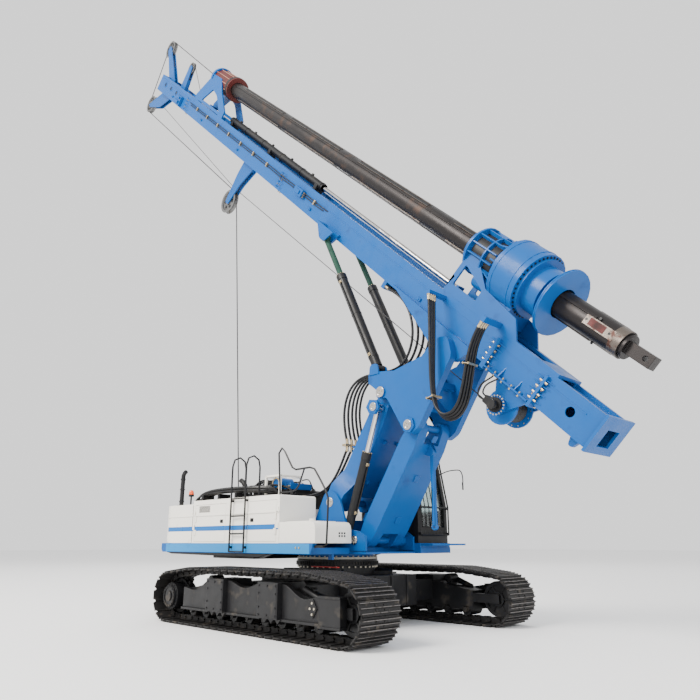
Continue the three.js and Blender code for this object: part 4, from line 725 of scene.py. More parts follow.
def hose_routes(places: Places) -> list[HoseRoute]:
    """The four rows of hoses, as the construction lays them.

    Args:
        places: The machine's frames, for the ends that lie square to the mast.

    Returns:
        The routes.
    """
    to_upper = places.upper.inverted() @ places.mast

    def on_mast(across: float, stations: Sequence[float]) -> list[tuple[float, float]]:
        """X and Z of places along the mast, at one distance in front of its face."""
        found = [to_upper @ Vector((across, 0, s)) for s in stations]
        return [(p.x, p.z) for p in found]

    def to_carriage(station: float, stops: Sequence[float]) -> list[tuple[float, float]]:
        """X and Z of places on a line square to the mast."""
        found = [to_upper @ Vector((n, 0, station)) for n in stops]
        return [(p.x, p.z) for p in found]

    return [
        HoseRoute("hoses_deck", ("upper", "boom_arm"), 5, (-0.155, -0.155), (0.058, 0.115), (-0.20, 0.12), [
            (-0.6997, 2.23), (-0.56, 2.23), (-0.30, 2.236), (-0.06, 2.262), (0.15, 2.33), (0.33, 2.45),
            (0.47, 2.61), (0.57, 2.79), (0.625, 2.93), (0.65, 3.0017), (0.65, 3.069)]),
        HoseRoute("hoses_boom", ("boom_arm", "triangle"), 5, (-0.155, -0.155), (0.115, 0.07), (-0.18, 0.16), [
            (0.65, 3.091), (0.65, 3.1583), (0.636, 3.30), (0.632, 3.50), (0.65, 3.70), (0.696, 3.90),
            (0.775, 4.08), (0.89, 4.21), (1.04, 4.285), (1.21, 4.312), (1.2997, 4.312)]),
        HoseRoute("hoses_mast", ("triangle", "mast"), 5, (-0.155, -0.155), (0.07, 0.058), (0.26, 0.16), [
            (1.4003, 4.312), (1.49, 4.312), (1.70, 4.325), (1.88, 4.375), (2.02, 4.48), (2.11, 4.64),
            (2.155, 4.83), (2.15, 5.04), (2.10, 5.26), (2.01, 5.46), (1.89, 5.63),
            *on_mast(-0.56, (4.7697, 4.8797, 4.9497))]),
        HoseRoute("hoses_loop", ("mast", "drive_carriage"), 4, (-0.68, -0.68), (0.050, 0.050), (0.10, -0.02), [
            (2.94, 5.2897), (2.94, 5.23), (2.945, 5.0), (2.95, 4.6), (2.955, 4.2), (2.97, 3.85), (3.01, 3.56),
            (3.085, 3.37), (3.20, 3.275), (3.33, 3.29), (3.44, 3.40), (3.52, 3.60), (3.585, 3.85),
            (3.65, 4.08), (3.72, 4.27), *to_carriage(2.28, (-0.0103, 0.0597, 0.1097))], -0.08),
    ]


@dataclass
class Hoses:
    """Hydraulic hoses with crimped ends and clamp bars, each hose left without a body.

    Attributes:
        places: The machine's frames.
        radius: Radius of a hose.
        ferrule: Length of a crimped end.
    """

    places: Places
    radius: float = 0.023
    ferrule: float = 0.075

    def build(self) -> None:
        """Makes every row, and the spacer bar on the boom."""
        for route in hose_routes(self.places):
            self._row(route)
        bar = Shape(self.places.upper)
        bar.box((0.60, -0.47, 3.060), (0.70, 0.16, 3.100))
        bar.box((0.70, -0.30, 3.066), (0.90, -0.24, 3.094))
        bar.box((0.70, -0.06, 3.066), (0.90, 0.00, 3.094))
        bar.piece("hose_spacer_bar", FITTING, "boom_arm", bevel=0.004)

    def _row(self, route: HoseRoute) -> None:
        """Makes one row's hoses and their ends.

        Args:
            route: The row's route.
        """
        ends = {body: Shape() for body in route.bodies}
        first, last = route.bodies
        paths = [self._path(route, i) for i in range(route.count)]
        if route.node == "hoses_loop":
            self._clamps(route, paths)
        for i, path in enumerate(paths):
            tube = Shape()
            tube.tube(path, self.radius, 12)
            hose = tube.piece(f"{route.node}_{i + 1}", HOSE, None)
            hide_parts(route.node)
            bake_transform(hose)
            self._end(ends[first], path[0], path[3] - path[0])
            self._end(ends[last], path[-1], path[-4] - path[-1])
        for body, shape in ends.items():
            shape.piece(f"{route.node}_ends_on_{body}", FITTING, body)

    def _clamps(self, route: HoseRoute, paths: Sequence[Sequence[Vector]]) -> None:
        """Makes the clamp bars that hold a loop's hoses together.

        Args:
            route: The row.
            paths: Its hoses' middle lines.
        """
        for number, share in enumerate((0.36, 0.74)):
            at = int(share * (len(paths[0]) - 1))
            middle = sum((path[at] for path in paths), Vector()) / len(paths)
            way = (paths[0][at + 1] - paths[0][at - 1]).normalized()
            frame = upright(middle, Vector((way.x, 0, way.z)))
            reach = max(abs((frame.inverted() @ path[at]).x) for path in paths) + self.radius + 0.012
            half = max(abs((frame.inverted() @ path[at]).y) for path in paths) + self.radius + 0.03
            clamp = Shape(frame)
            clamp.box((-reach, -half, -0.018), (-reach + 0.012, half, 0.018))
            clamp.box((reach - 0.012, -half, -0.018), (reach, half, 0.018))
            for y in (-half + 0.012, half - 0.012):
                clamp.rod((-reach - 0.012, y, 0), (reach + 0.012, y, 0), 0.007, 8)
            piece = clamp.piece(f"{route.node}_clamp_{number + 1}", FITTING, None)
            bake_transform(piece)

    def _path(self, route: HoseRoute, number: int) -> list[Vector]:
        """The middle line of one hose of a row.

        Args:
            route: The row.
            number: The hose's number in it, from 0.

        Returns:
            Its points.
        """
        out = number - (route.count - 1) / 2
        share = number / (route.count - 1)
        line = spline([self.places.upper @ Vector((x, 0, z)) for x, z in route.points], 6)
        count = len(line) - 1
        bow, spread = route.fan
        found = []
        for i, at in enumerate(line):
            t = i / count
            ease = t * t * (3 - 2 * t)
            belly = sin(pi * t) ** 2
            pitch = route.pitch[0] + (route.pitch[1] - route.pitch[0]) * ease
            middle = route.middle[0] + (route.middle[1] - route.middle[0]) * ease + route.lean * belly
            way = (line[min(i + 1, count)] - line[max(i - 1, 0)]).normalized()
            off = Vector((way.z, 0, -way.x)) * (bow * (0.3 + 0.7 * share) * belly)
            aside = out * (pitch + spread * belly / route.count)
            found.append(at + off + Vector((0, middle + aside, 0)))
        return found

    def _end(self, shape: Shape, place: Vector, way: Vector) -> None:
        """Adds a crimped sleeve and a nut around a hose's end.

        Args:
            shape: The shape to add to.
            place: The hose's end.
            way: The way the hose leaves.
        """
        along = way.normalized()
        shape.rod(place + along * 0.028, place + along * (0.028 + self.ferrule), self.radius + 0.005, 16)
        shape.rod(place + along * 0.001, place + along * 0.026, self.radius + 0.009, 6)


# --------------------------------------------------------------------- ropes
@dataclass
class Ropes:
    """Steel ropes over the sheaves of the mast head and the guide block.

    Attributes:
        places: The machine's frames.
        radius: Radius of the hoist rope.
        thin: Radius of the auxiliary rope.
    """

    places: Places
    radius: float = 0.014
    thin: float = 0.009
    groove: float = 0.021
    main: tuple[float, float, float] = (0.85, 20.53, 0.30)
    rear: tuple[float, float, float] = (-1.09, 20.16, 0.30)
    guide: tuple[float, float, float] = (-1.64, 12.13, 0.33)
    aux: tuple[float, float, float] = (0.70, 18.22, 0.21)
    swivel: tuple[float, float] = (0.92, 16.17)
    aux_hook: tuple[float, float] = (0.10, 16.50)
    leave: float = -42.0
    winch: tuple[float, float, float] = (-0.82, 1.5, 0.18)
    drum: tuple[float, float, float] = (-2.98, 2.0, 0.23)

    def build(self) -> None:
        """Makes every rope."""
        hoist = Shape(self.places.mast)
        over_main = self._arc(self.main, 0.0, 101.0)
        over_rear = self._arc(self.rear, 101.0, 188.0)
        down = self._arc(self.guide, 4.0, self.leave)
        path = [(self.swivel[0], 0, self.swivel[1]), *over_main, *over_rear, *down]
        hoist.tube(path, self.radius, 8)
        hoist.piece("hoist_rope_on_mast", ROPE, "mast")

        second = Shape(self.places.mast)
        aux_over = self._arc(self.aux, -15.0, 150.0)
        second.tube([(self.aux_hook[0], 0, self.aux_hook[1]), *aux_over, (-0.02, 0.0, 18.35)], self.thin, 8)
        side = 0.10
        second.tube([(self.rear[0] + 0.2, side, 19.9), (-1.30, side, 12.4),
                     (self.winch[0] - self.winch[2], side, 1.62)],
                    self.thin, 8)
        second.piece("auxiliary_rope_on_mast", ROPE, "mast")
        hook = Shape(self.places.mast)
        centre = (self.aux_hook[0] - 0.005, 0.0, self.aux_hook[1] - 0.055)
        hook.add(*torus(circle(centre, (0, 1, 0), 0.05, 18), 0.012, centre, 8))
        n, s = self.aux_hook
        hook.rod((n, 0, s - 0.01), (n + 0.03, 0, s + 0.10), 0.022, 12)
        hook.box((0.0, -0.05, s - 0.12), (0.11, 0.05, s - 0.085))
        hook.piece("auxiliary_shackle", FITTING, "mast")

        plumb = Shape()
        bottom = self.places.upper @ Vector((self.drum[0] - self.drum[2], 0, self.drum[1]))
        top = self.places.mast @ Vector(down[-1])
        steps = 48
        plumb.tube([bottom.lerp(top, i / steps) for i in range(steps + 1)], self.radius, 8)
        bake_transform(plumb.piece("hoist_rope_to_winch", ROPE, None))
        self._coil("main_winch_rope", self.places.upper, self.drum, 0.48, "main_winch", self.radius)
        self._coil("mast_winch_rope", self.places.mast, self.winch, 0.18, "mast_winch", self.thin)

    def _arc(self, sheave: tuple[float, float, float], start: float, end: float) -> list[tuple[float, float, float]]:
        """Points of a rope on a sheave, between two angles in degrees from the mast's front.

        Args:
            sheave: The sheave's place on the mast and the rope's radius on it.
            start: The first angle.
            end: The last angle.

        Returns:
            The points, in the mast's frame.
        """
        n, s, r = sheave
        steps = 10
        angles = (radians(start + (end - start) * i / steps) for i in range(steps + 1))
        reach = r - self.groove
        return [(n + reach * cos(a), 0.0, s + reach * sin(a)) for a in angles]

    @staticmethod
    def _coil(name: str, frame: Matrix, drum: tuple[float, float, float], half: float, body: str,
              radius: float) -> None:
        """Winds rope turns round a drum.

        Args:
            name: The coil's name.
            frame: The drum's frame.
            drum: The drum's place and radius.
            half: Half of the coil along the drum.
            body: The body it rides on.
            radius: The rope's radius.
        """
        shape = Shape(frame)
        turns = int(2 * half / (2.1 * radius))
        for i in range(turns):
            y = -half + (i + 0.5) * 2 * half / turns
            loop = circle((drum[0], y, drum[1]), (0, 1, 0), drum[2] + radius * 0.8, 28)
            shape.add(*torus(loop, radius, (drum[0], y, drum[1])))
        shape.piece(name, ROPE, body)


def torus(loop: Sequence[Vector], radius: float, centre: Point, sides: int = 6) -> Solid:
    """A closed round ring along a circle of points.

    Args:
        loop: The circle's points.
        radius: Radius of the ring's section.
        centre: The circle's middle.
        sides: Sides of the section.

    Returns:
        Its points and faces.
    """
    middle = Vector(centre)
    axis = (loop[0] - middle).cross(loop[1] - middle).normalized()
    points = []
    for at in loop:
        out = (at - middle).normalized()
        for k in range(sides):
            angle = tau * k / sides
            points.append(at + out * (radius * cos(angle)) + axis * (radius * sin(angle)))
    count = len(loop)
    faces = [(i * sides + k, i * sides + (k + 1) % sides, (i + 1) % count * sides + (k + 1) % sides,
              (i + 1) % count * sides + k) for i in range(count) for k in range(sides)]
    return points, faces


# ------------------------------------------------------------------ dressing
def dress(nodes: dict[str, bpy.types.Object], record: dict) -> None:
    """Gives every CAD node the finish of its slot, rounded edges and smooth shading.

    Args:
        nodes: The CAD nodes by name.
        record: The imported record.
    """
    for part in record["subparts"]:
        node = nodes[part["node"]]
        finish = BY_SLOT[Slot(part["material_slot"])]
        mesh = node.data
        mesh.materials.clear()
        mesh.materials.append(OWN_FINISH.get(part["node"], finish).material())
        split = mesh.attributes.get("custom_normal")
        if split is not None:
            mesh.attributes.remove(split)
        mesh.polygons.foreach_set("use_smooth", [True] * len(mesh.polygons))
        node.modifiers.new("weld", "WELD").merge_threshold = 1e-5
        rounding = node.modifiers.new("rounding", "BEVEL")
        rounding.width = EDGE_ROUNDING
        rounding.segments = 2
        rounding.limit_method = "ANGLE"
        rounding.angle_limit = radians(34.0)
        rounding.harden_normals = True


# -------------------------------------------------------------- undercarriage
@dataclass
class Crawler:
    """One side's track: shoes with three grousers, link chain, rollers, idler and covers.

    Attributes:
        places: The machine's frames.
        name: "right" or "left".
        side: -1 on the right, 1 on the left.
    """

    places: Places
    name: str
    side: int
    gauge: float = 1.772
    shoe_half: float = 0.40
    shoes: int = 57
    end_x: float = 2.33
    end_radius: float = 0.44
    knee_x: float = 1.55
    top: float = 0.97
    grouser: float = 0.025
    plate: float = 0.02
    link_height: float = 0.085
    frame_half: float = 0.20
    cover_out: float = 0.38
    cover_x: float = 0.72
    cover_half: float = 0.25

    @property
    def body(self) -> str:
        """The body that the track rides on."""
        return f"track_side_{self.name}"

    def build(self) -> None:
        """Makes the whole side."""
        stations = self._stations()
        self._shoes(stations)
        self._chain(stations)
        self._rollers()
        self._covers()
        self._ends()

    def _line(self) -> list[tuple[float, float]]:
        """The closed line where shoes meet links, as X and Z.

        Returns:
            The line's points.
        """
        inset = self.grouser + self.plate
        radius, top = self.end_radius - inset, self.top - inset
        run, rise = self.end_x - self.knee_x, self.top - inset - self.end_radius
        lean = acos(radius / hypot(run, rise)) + atan2(rise, run)
        steps = 40
        out = []
        for i in range(steps + 1):
            angle = -pi / 2 + (1.5 * pi - lean) * i / steps
            out.append((self.end_x + radius * cos(angle), self.end_radius + radius * sin(angle)))
        out += [(self.knee_x, top), (-self.knee_x, top)]
        for i in range(steps + 1):
            angle = lean + (1.5 * pi - lean) * i / steps
            out.append((-self.end_x + radius * cos(angle), self.end_radius + radius * sin(angle)))
        out.append(out[0])
        return out

    def _stations(self) -> list[Matrix]:
        """A frame for each shoe: X along the track, Y to the left, Z out of the loop.

        Returns:
            The frames, in order round the loop.
        """
        line = [Vector((x, 0, z)) for x, z in self._line()]
        total = run_length(line)
        stops = []
        span, walked = 0, 0.0
        for shoe in range(self.shoes):
            goal = total * shoe / self.shoes
            while walked + (line[span + 1] - line[span]).length < goal:
                walked += (line[span + 1] - line[span]).length
                span += 1
            way = (line[span + 1] - line[span]).normalized()
            stops.append(line[span] + way * (goal - walked))
        frames = []
        shift = self.places.upper @ Vector((0, self.side * self.gauge, 0))
        for a, b in zip(stops, stops[1:] + stops[:1]):
            way = (b - a).normalized()
            left = Vector((0, 1, 0))
            frame = Matrix((way, left, way.cross(left))).transposed().to_4x4()
            if frame.to_3x3() @ Vector((0, 0, 1)) @ ((a + b) / 2 - Vector((0, 0, 0.5))) < 0:
                frame = Matrix((-way, left, (-way).cross(left))).transposed().to_4x4()
            frame.translation = (a + b) / 2 + shift
            frames.append(frame)
        self.pitch = (stops[1] - stops[0]).length
        return frames

    def _shoes(self, stations: Sequence[Matrix]) -> None:
        """Makes the shoe plates with their grousers, tip strips that are partly wear and partly painted highlight, and
        black patches of painted shade for the shoes' holes.

        Args:
            stations: The shoes' frames.
        """
        shape, edges, slots = Shape(), Shape(), Shape()
        half = self.pitch * 0.485
        corner = 0.06
        for frame in stations:
            shape.frame = edges.frame = slots.frame = frame
            low, high = 0.0, self.plate
            w = self.shoe_half
            rim = [(-half, -w + corner), (-half + 0.03, -w), (half - 0.03, -w), (half, -w + corner), (half, w - corner),
                   (half - 0.03, w), (-half + 0.03, w), (-half, w - corner)]
            points = [(x, y, z) for z in (low, high) for x, y in rim]
            count = len(rim)
            faces = [tuple(range(count)), tuple(range(count, 2 * count))]
            faces += [(k, (k + 1) % count, (k + 1) % count + count, k + count) for k in range(count)]
            shape.add(points, faces)
            shape.box((half - 0.006, -w + 0.035, -0.014), (half + 0.036, w - 0.035, -0.001))
            tip = self.plate + self.grouser - 0.0005
            for at in (-0.68, 0.0, 0.68):
                x = at * half
                shape.add([(x + dx, y, z) for y in (-w + 0.012, w - 0.012)
                           for dx, z in ((-0.012, high - 0.002), (0.012, high - 0.002), (0.006, tip), (-0.006, tip))],
                          BLOCK_FACES)
                # Lighter strip on each grouser tip: partly wear, partly painted highlight along the edge.
                edges.box((x - 0.0055, -w + 0.014, tip - 0.004), (x + 0.0055, w - 0.014, tip + 0.0005))
            # Black patches for the holes in each shoe: painted shade standing in for the holes' depth.
            for y in (-0.16, 0.16):
                slots.box((-0.55 * half, y - 0.022, high - 0.004), (-0.15 * half, y + 0.022, high + 0.0015))
            places = [(x, y, high) for x in (-0.34 * half, 0.34 * half) for y in (-0.085, 0.085)]
            shape.bolts(places, (0, 0, 1), 0.014, 0.01)
        shoes = shape.piece(f"track_shoes_{self.name}", TRACK, self.body)
        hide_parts(f"track_{self.name}")
        edges.piece(f"track_tip_wear_and_highlight_{self.name}", TIP_WEAR_AND_HIGHLIGHT, self.body)
        slots.piece(f"track_slot_shade_{self.name}", BLACK, self.body)

    def _chain(self, stations: Sequence[Matrix]) -> None:
        """Makes the links, pins and bushes inside the shoes.

        Args:
            stations: The shoes' frames.
        """
        shape = Shape()
        reach = self.pitch * 0.56
        deep = -self.link_height
        for frame in stations:
            shape.frame = frame
            outline = [(-reach, deep * 0.80), (-reach * 0.75, deep), (-reach * 0.2, deep * 0.86), (reach * 0.2, deep),
                       (reach * 0.75, deep), (reach, deep * 0.75), (reach, deep * 0.3), (reach * 0.6, 0.0),
                       (-reach * 0.6, 0.0), (-reach, deep * 0.3)]
            for s in SIDES:
                shape.plate(outline, s * 0.072, s * 0.100)
            shape.rod((-self.pitch / 2, -0.122, deep * 0.5), (-self.pitch / 2, 0.122, deep * 0.5), 0.020, 10)
            shape.rod((-self.pitch / 2, -0.07, deep * 0.5), (-self.pitch / 2, 0.07, deep * 0.5), 0.030, 10)
        shape.piece(f"track_chain_{self.name}", TRACK, self.body)

    def _side_frame(self) -> Matrix:
        """The upper frame moved to this track's middle."""
        return self.places.upper @ Matrix.Translation((0, self.side * self.gauge, 0))

    def _rollers(self) -> None:
        """Makes the flanges, caps and guards of the lower and upper rollers."""
        shape = Shape(self._side_frame())
        for i in range(9):
            x = -1.68 + i * 0.42
            for s in SIDES:
                shape.disc((x, s * 0.118, 0.236), (0, s, 0), 0.094, 0.022, 24)
                shape.disc((x, s * 0.171, 0.236), (0, s, 0), 0.045, 0.045, 16)
                shape.plate([(x - 0.075, 0.30), (x + 0.075, 0.30), (x + 0.05, 0.20), (x - 0.05, 0.20)],
                            s * 0.178, s * 0.200)
                shape.bolts([(x - 0.045, s * 0.2, 0.272), (x + 0.045, s * 0.2, 0.272)], (0, s, 0), 0.013, 0.012)
        for x in (-0.84, 0.42, 1.26):
            for s in SIDES:
                shape.plate([(x - 0.12, 0.31), (x + 0.12, 0.31), (x + 0.08, 0.14), (x - 0.08, 0.14)],
                            s * 0.142, s * 0.160)
        shape.piece(f"roller_trim_{self.name}", FRAME_BLACK, self.body, bevel=0.004)

    def _covers(self) -> None:
        """Makes the bolted covers, the waved web between them and the diamond tension cover."""
        web = Shape(self._side_frame())
        s = self.side
        x1 = self.cover_x - self.cover_half
        x2 = self.cover_x + self.cover_half
        for a, b, za, zb in ((-1.84, -x2, 0.62, 0.78), (-x1, x1, 0.78, 0.78), (x2, 1.84, 0.78, 0.64)):
            outline = [(a, 0.26), (b, 0.26)]
            steps = 16
            for i in range(steps + 1):
                t = i / steps
                ease = t * t * (3 - 2 * t)
                dip = 0.05 * (1 - cos(tau * t))
                outline.append((b + (a - b) * t, zb + (za - zb) * ease - dip))
            web.plate(outline, s * (self.frame_half + 0.001), s * (self.frame_half + 0.09))
            web.box((a, s * self.frame_half, 0.255), (b, s * (self.frame_half + 0.13), 0.295))
        web.piece(f"frame_web_{self.name}", FRAME_BLACK, self.body, bevel=0.006)

        cover = Shape(self._side_frame())
        bolts = Shape(self._side_frame())
        out = s * self.cover_out
        for centre in (-self.cover_x, self.cover_x):
            low, high = centre - self.cover_half, centre + self.cover_half
            cover.box((low + 0.02, out - s * 0.004, 0.30), (high - 0.02, out + s * 0.006, 0.78))
            for x in (low + 0.045, high - 0.045):
                bolts.bolts([(x, out + s * 0.006, z) for z in (0.33, 0.44, 0.64, 0.75)], (0, s, 0), 0.016, 0.011)
            bolts.bolts([(centre, out + s * 0.006, z) for z in (0.33, 0.75)], (0, s, 0), 0.016, 0.011)
            for k in range(3):
                x = low + 0.09 + 0.16 * k
                cover.plate([(x, 0.285), (x + 0.14, 0.285), (x + 0.07, 0.215)], out - s * 0.14, out - s * 0.03)
        cover.piece(f"frame_covers_{self.name}", FRAME_BLACK, self.body, bevel=0.005)

        diamond = [(1.60, 0.48), (1.69, 0.61), (1.78, 0.48), (1.69, 0.35)]
        plate = Shape(self._side_frame())
        face = self.frame_half + 0.11
        plate.plate(diamond, s * (self.frame_half + 0.08), s * face)
        plate.piece(f"tension_cover_{self.name}", FRAME_BLACK, self.body, bevel=0.004)
        bolts.piece(f"cover_bolts_{self.name}", FRAME_BLACK, self.body)
        bolts = Shape(self._side_frame())
        bolts.bolts([(x, s * face, z) for x, z in ((1.69, 0.555), (1.645, 0.48), (1.735, 0.48), (1.69, 0.405))],
                    (0, s, 0), 0.018, 0.014)
        bolts.piece(f"frame_bolts_{self.name}", BOLT, self.body)

    def _ends(self) -> None:
        """Makes the idler's guide box, the idler's rim, the sprocket's teeth and the final drive's bolts."""
        s = self.side
        guide = Shape(self._side_frame())
        guide.box((1.84, s * self.frame_half, 0.24), (2.28, s * (self.frame_half + 0.13), 0.66))
        guide.box((1.83, s * self.frame_half, 0.63), (2.29, s * (self.frame_half + 0.145), 0.665))
        guide.box((1.83, s * self.frame_half, 0.235), (2.29, s * (self.frame_half + 0.145), 0.27))
        guide.rod((1.30, s * 0.12, 0.72), (1.62, s * 0.12, 0.60), 0.05, 12)
        guide.piece(f"idler_guide_{self.name}", FRAME_BLACK, self.body, bevel=0.006)
        idler = Shape(self._side_frame())
        for out in SIDES:
            idler.ring((self.end_x, out * 0.111, self.end_radius), (0, out, 0), 0.292, 0.235, 0.018, 40)
            idler.disc((self.end_x, out * 0.111, self.end_radius), (0, out, 0), 0.12, 0.035, 24)
            for k in range(6):
                angle = pi * k / 3
                way = Vector((cos(angle), 0, sin(angle)))
                middle = Vector((self.end_x, out * 0.118, self.end_radius))
                idler.rod(middle + way * 0.11, middle + way * 0.24, 0.016, 6)
        idler.piece(f"idler_ribs_{self.name}", FRAME_BLACK, self.body)
        teeth = Shape(self._side_frame())
        centre = Vector((-self.end_x, 0, self.end_radius))
        count = 12
        for k in range(count):
            a = tau * (k + 0.5) / count
            rim = [(0.285, -0.16), (0.345, -0.06), (0.345, 0.06), (0.285, 0.16)]
            outline = [(centre.x + r * cos(a + d), centre.z + r * sin(a + d)) for r, d in rim]
            teeth.plate(outline, -0.028, 0.028)
        teeth.piece(f"sprocket_teeth_{self.name}", TRACK, self.body)
        drive = Shape(self._side_frame())
        face = centre + Vector((0, s * 0.30, 0))
        drive.ring(face, (0, s, 0), 0.185, 0.150, 0.012, 40)
        drive.disc(face, (0, s, 0), 0.09, 0.02, 24)
        drive.bolts(circle(face + Vector((0, s * 0.012, 0)), (0, s, 0), 0.168, 16), (0, s, 0), 0.010, 0.012)
        drive.bolts(circle(face - Vector((0, s * 0.04, 0)), (0, s, 0), 0.215, 20), (0, s, 0), 0.012, 0.014)
        drive.piece(f"final_drive_trim_{self.name}", FRAME_BLACK, self.body)


@dataclass
class Slewing(Assembly):
    """The slewing ring's teeth and bolts, and the centre frame's trim."""

    radius: float = 0.74
    bottom: float = 0.985
    top: float = 1.10

    def build(self) -> None:
        """Makes the ring and its bolts."""
        ring = self.on_upper()
        count = 84
        for k in range(count):
            a = tau * k / count
            ring.frame = self.places.upper @ Matrix.Rotation(a, 4, "Z")
            ring.box((self.radius - 0.01, -0.012, self.bottom + 0.02), (self.radius + 0.018, 0.012, self.top - 0.035))
        ring.piece("slewing_ring_teeth", TRACK, "undercarriage")
        bolts = self.on_upper()
        bolts.bolts(circle((0, 0, self.bottom), (0, 0, -1), self.radius - 0.02, 40), (0, 0, -1), 0.016, 0.025)
        bolts.piece("slewing_ring_bolts", BOLT, "undercarriage")
        above = self.on_upper()
        above.ring((0, 0, 1.103), (0, 0, 1), 0.735, 0.66, 0.035, 64)
        above.bolts(circle((0, 0, 1.138), (0, 0, 1), 0.712, 44), (0, 0, 1), 0.014, 0.02)
        above.piece("slewing_flange", CREAM, "upper")
        strip = self.on_upper()
        strip.box((0.35, -0.95, 0.985), (1.0, -0.90, 1.0))
        strip.piece("frame_marker", RED, "undercarriage")
        hub = self.on_upper()
        for x in (-1.16, 1.16):
            for y in (-0.6, -0.2, 0.2, 0.6):
                hub.box((x - 0.012, y - 0.02, 0.34), (x + 0.012, y + 0.02, 0.83))
        hub.piece("centre_frame_ribs", FRAME_BLACK, "undercarriage", bevel=0.004)


# ----------------------------------------------------------------- upper body
@dataclass
class UpperBody(Assembly):
    """Hood bands, seams, vents, handles, lamps, exhaust, deck machinery and winch trim."""

    half: float = 1.5
    rear: float = -3.8
    weight_front: float = -2.63
    corner: float = 0.32
    skirt: tuple[float, float] = (1.205, 1.372)
    stripe: tuple[float, float] = (1.60, 1.685)
    crease: tuple[float, float] = (1.875, 1.905)
    hood_front: float = 0.14
    winch: tuple[float, float] = (-2.98, 2.0)
    stack: tuple[float, float] = (-3.42, -1.32)
    beacon: tuple[float, float] = (-3.08, -1.30)
    doors: tuple[tuple[str, int, float, float], ...] = (
        ("service_door_right_rear", -1, -2.54, -1.48), ("service_door_right_front", -1, -0.76, 0.06),
        ("service_door_left", 1, -2.54, -1.48))

    def build(self) -> None:
        """Makes all of the upper body's trim."""
        self._bands()
        self._door_trim()
        self._hood_top()
        self._tank()
        self._exhaust()
        self._deck()
        self._winch_trim()
        self._underside()

    def _around_rear(self, side: int, front: float) -> list[tuple[float, float]]:
        """The counterweight's outline from above, from its side round half of its rear.

        Args:
            side: 1 for the left, -1 for the right.
            front: X where the side begins.

        Returns:
            X and Y of its points.
        """
        arc = [radians(90 * i / 8) for i in range(9)]
        centre = (self.rear + self.corner, side * (self.half - self.corner))
        points = [(front, side * self.half)]
        points += [(centre[0] - self.corner * sin(a), centre[1] + side * self.corner * cos(a)) for a in arc]
        points.append((self.rear, 0.0))
        return points if side > 0 else list(reversed(points))

    def _bands(self) -> None:
        """Paints the blue stripe, the pale skirt, the crease and the seams of the fixed panels."""
        stripe, skirt, crease = self.on_upper(), self.on_upper(), self.on_upper()
        seams = self.on_upper()
        for side in SIDES:
            path = self._around_rear(side, self.weight_front)
            stripe.band(path, *self.stripe, SKIN)
            crease.band(path, *self.crease, 0.014)
            y = side * self.half
            low, high = self.stripe
            for a, b in self._fixed_spans(side):
                outline = [(a, low), (b, low), (b, high), (a, high)]
                if side < 0 and b >= self.hood_front:
                    outline = [(a, low), (0.125, low), (0.065, high), (a, high)]
                stripe.plate(outline, y, y + side * SKIN)
                crease.box((a, y, self.crease[0]), (b, y + side * 0.014, self.crease[1]))
            skirt.box((self.rear + 0.20, y, self.skirt[0] + 0.003), (0.93, y + side * SKIN, self.skirt[1] - 0.004))
            seams.box((self.weight_front - 0.006, y, 1.375), (self.weight_front + 0.006, y + side * 0.002, 2.10))
        stripe.piece("hood_stripe", STRIPE, "upper")
        skirt.piece("skirt_band", PALE_BLUE, "upper")
        crease.piece("hood_crease", WHITE, "upper", bevel=0.006)
        seams.piece("hood_seams", BLACK, "upper")

    def _fixed_spans(self, side: int) -> list[tuple[float, float]]:
        """Stretches of hood side between the doors.

        Args:
            side: 1 for the left, -1 for the right.

        Returns:
            The first and last X of each stretch.
        """
        start = self.weight_front + 0.004
        end = self.hood_front if side < 0 else -0.04
        gaps = sorted((x0, x1) for _, s, x0, x1 in self.doors if s == side)
        spans = []
        for x0, x1 in gaps:
            spans.append((start, x0 - 0.006))
            start = x1 + 0.006
        spans.append((start, end))
        return spans

    def _door_trim(self) -> None:
        """Makes the stripe, crease, latch and vent of each service door; the vent's slots are black strips of painted
        shade.
        """
        for name, side, x0, x1 in self.doors:
            body = f"{name}_leaf"
            y = side * self.half
            band = self.on_upper()
            band.box((x0 + 0.001, y, self.stripe[0]), (x1 - 0.001, y + side * SKIN, self.stripe[1]))
            band.piece(f"{name}_stripe", STRIPE, body)
            trim = self.on_upper()
            trim.box((x0 + 0.001, y, self.crease[0]), (x1 - 0.001, y + side * 0.014, self.crease[1]))
            trim.piece(f"{name}_crease", WHITE, body, bevel=0.006)
            lock = self.on_upper()
            free = x0 + 0.12 if name.endswith("front") else x1 - 0.12
            lock.box((free - 0.045, y, 1.735), (free + 0.045, y + side * 0.006, 1.80))
            lock.rod((free - 0.03, y + side * 0.006, 1.768), (free - 0.03, y + side * 0.014, 1.768), 0.015, 14)
            lock.box((free - 0.035, y + side * 0.006, 1.760), (free + 0.035, y + side * 0.016, 1.776))
            lock.piece(f"{name}_latch", BLACK, body, bevel=0.002)
            if x1 - x0 > 0.9:
                # Black strips for the louvre slots: painted shade of the openings.
                vent = self.on_upper()
                for k in range(7):
                    z = 1.95 + 0.018 * k
                    vent.box((x0 + 0.14, y + side * 0.001, z), (x0 + 0.52, y + side * 0.006, z + 0.008))
                vent.piece(f"{name}_vent", BLACK, body)

    def _hood_top(self) -> None:
        """Makes lids, grilles and lifting eyes on the hood tops; the grilles' slots are black strips of painted shade.
        """
        lids = self.on_upper()
        grilles = self.on_upper()
        for side in SIDES:
            y = side * 1.09
            for a, b in ((-2.5, -1.75), (-1.65, -0.9), (-0.8, -0.12)):
                lids.box((a, y - 0.28, 2.18), (b, y + 0.28, 2.196))
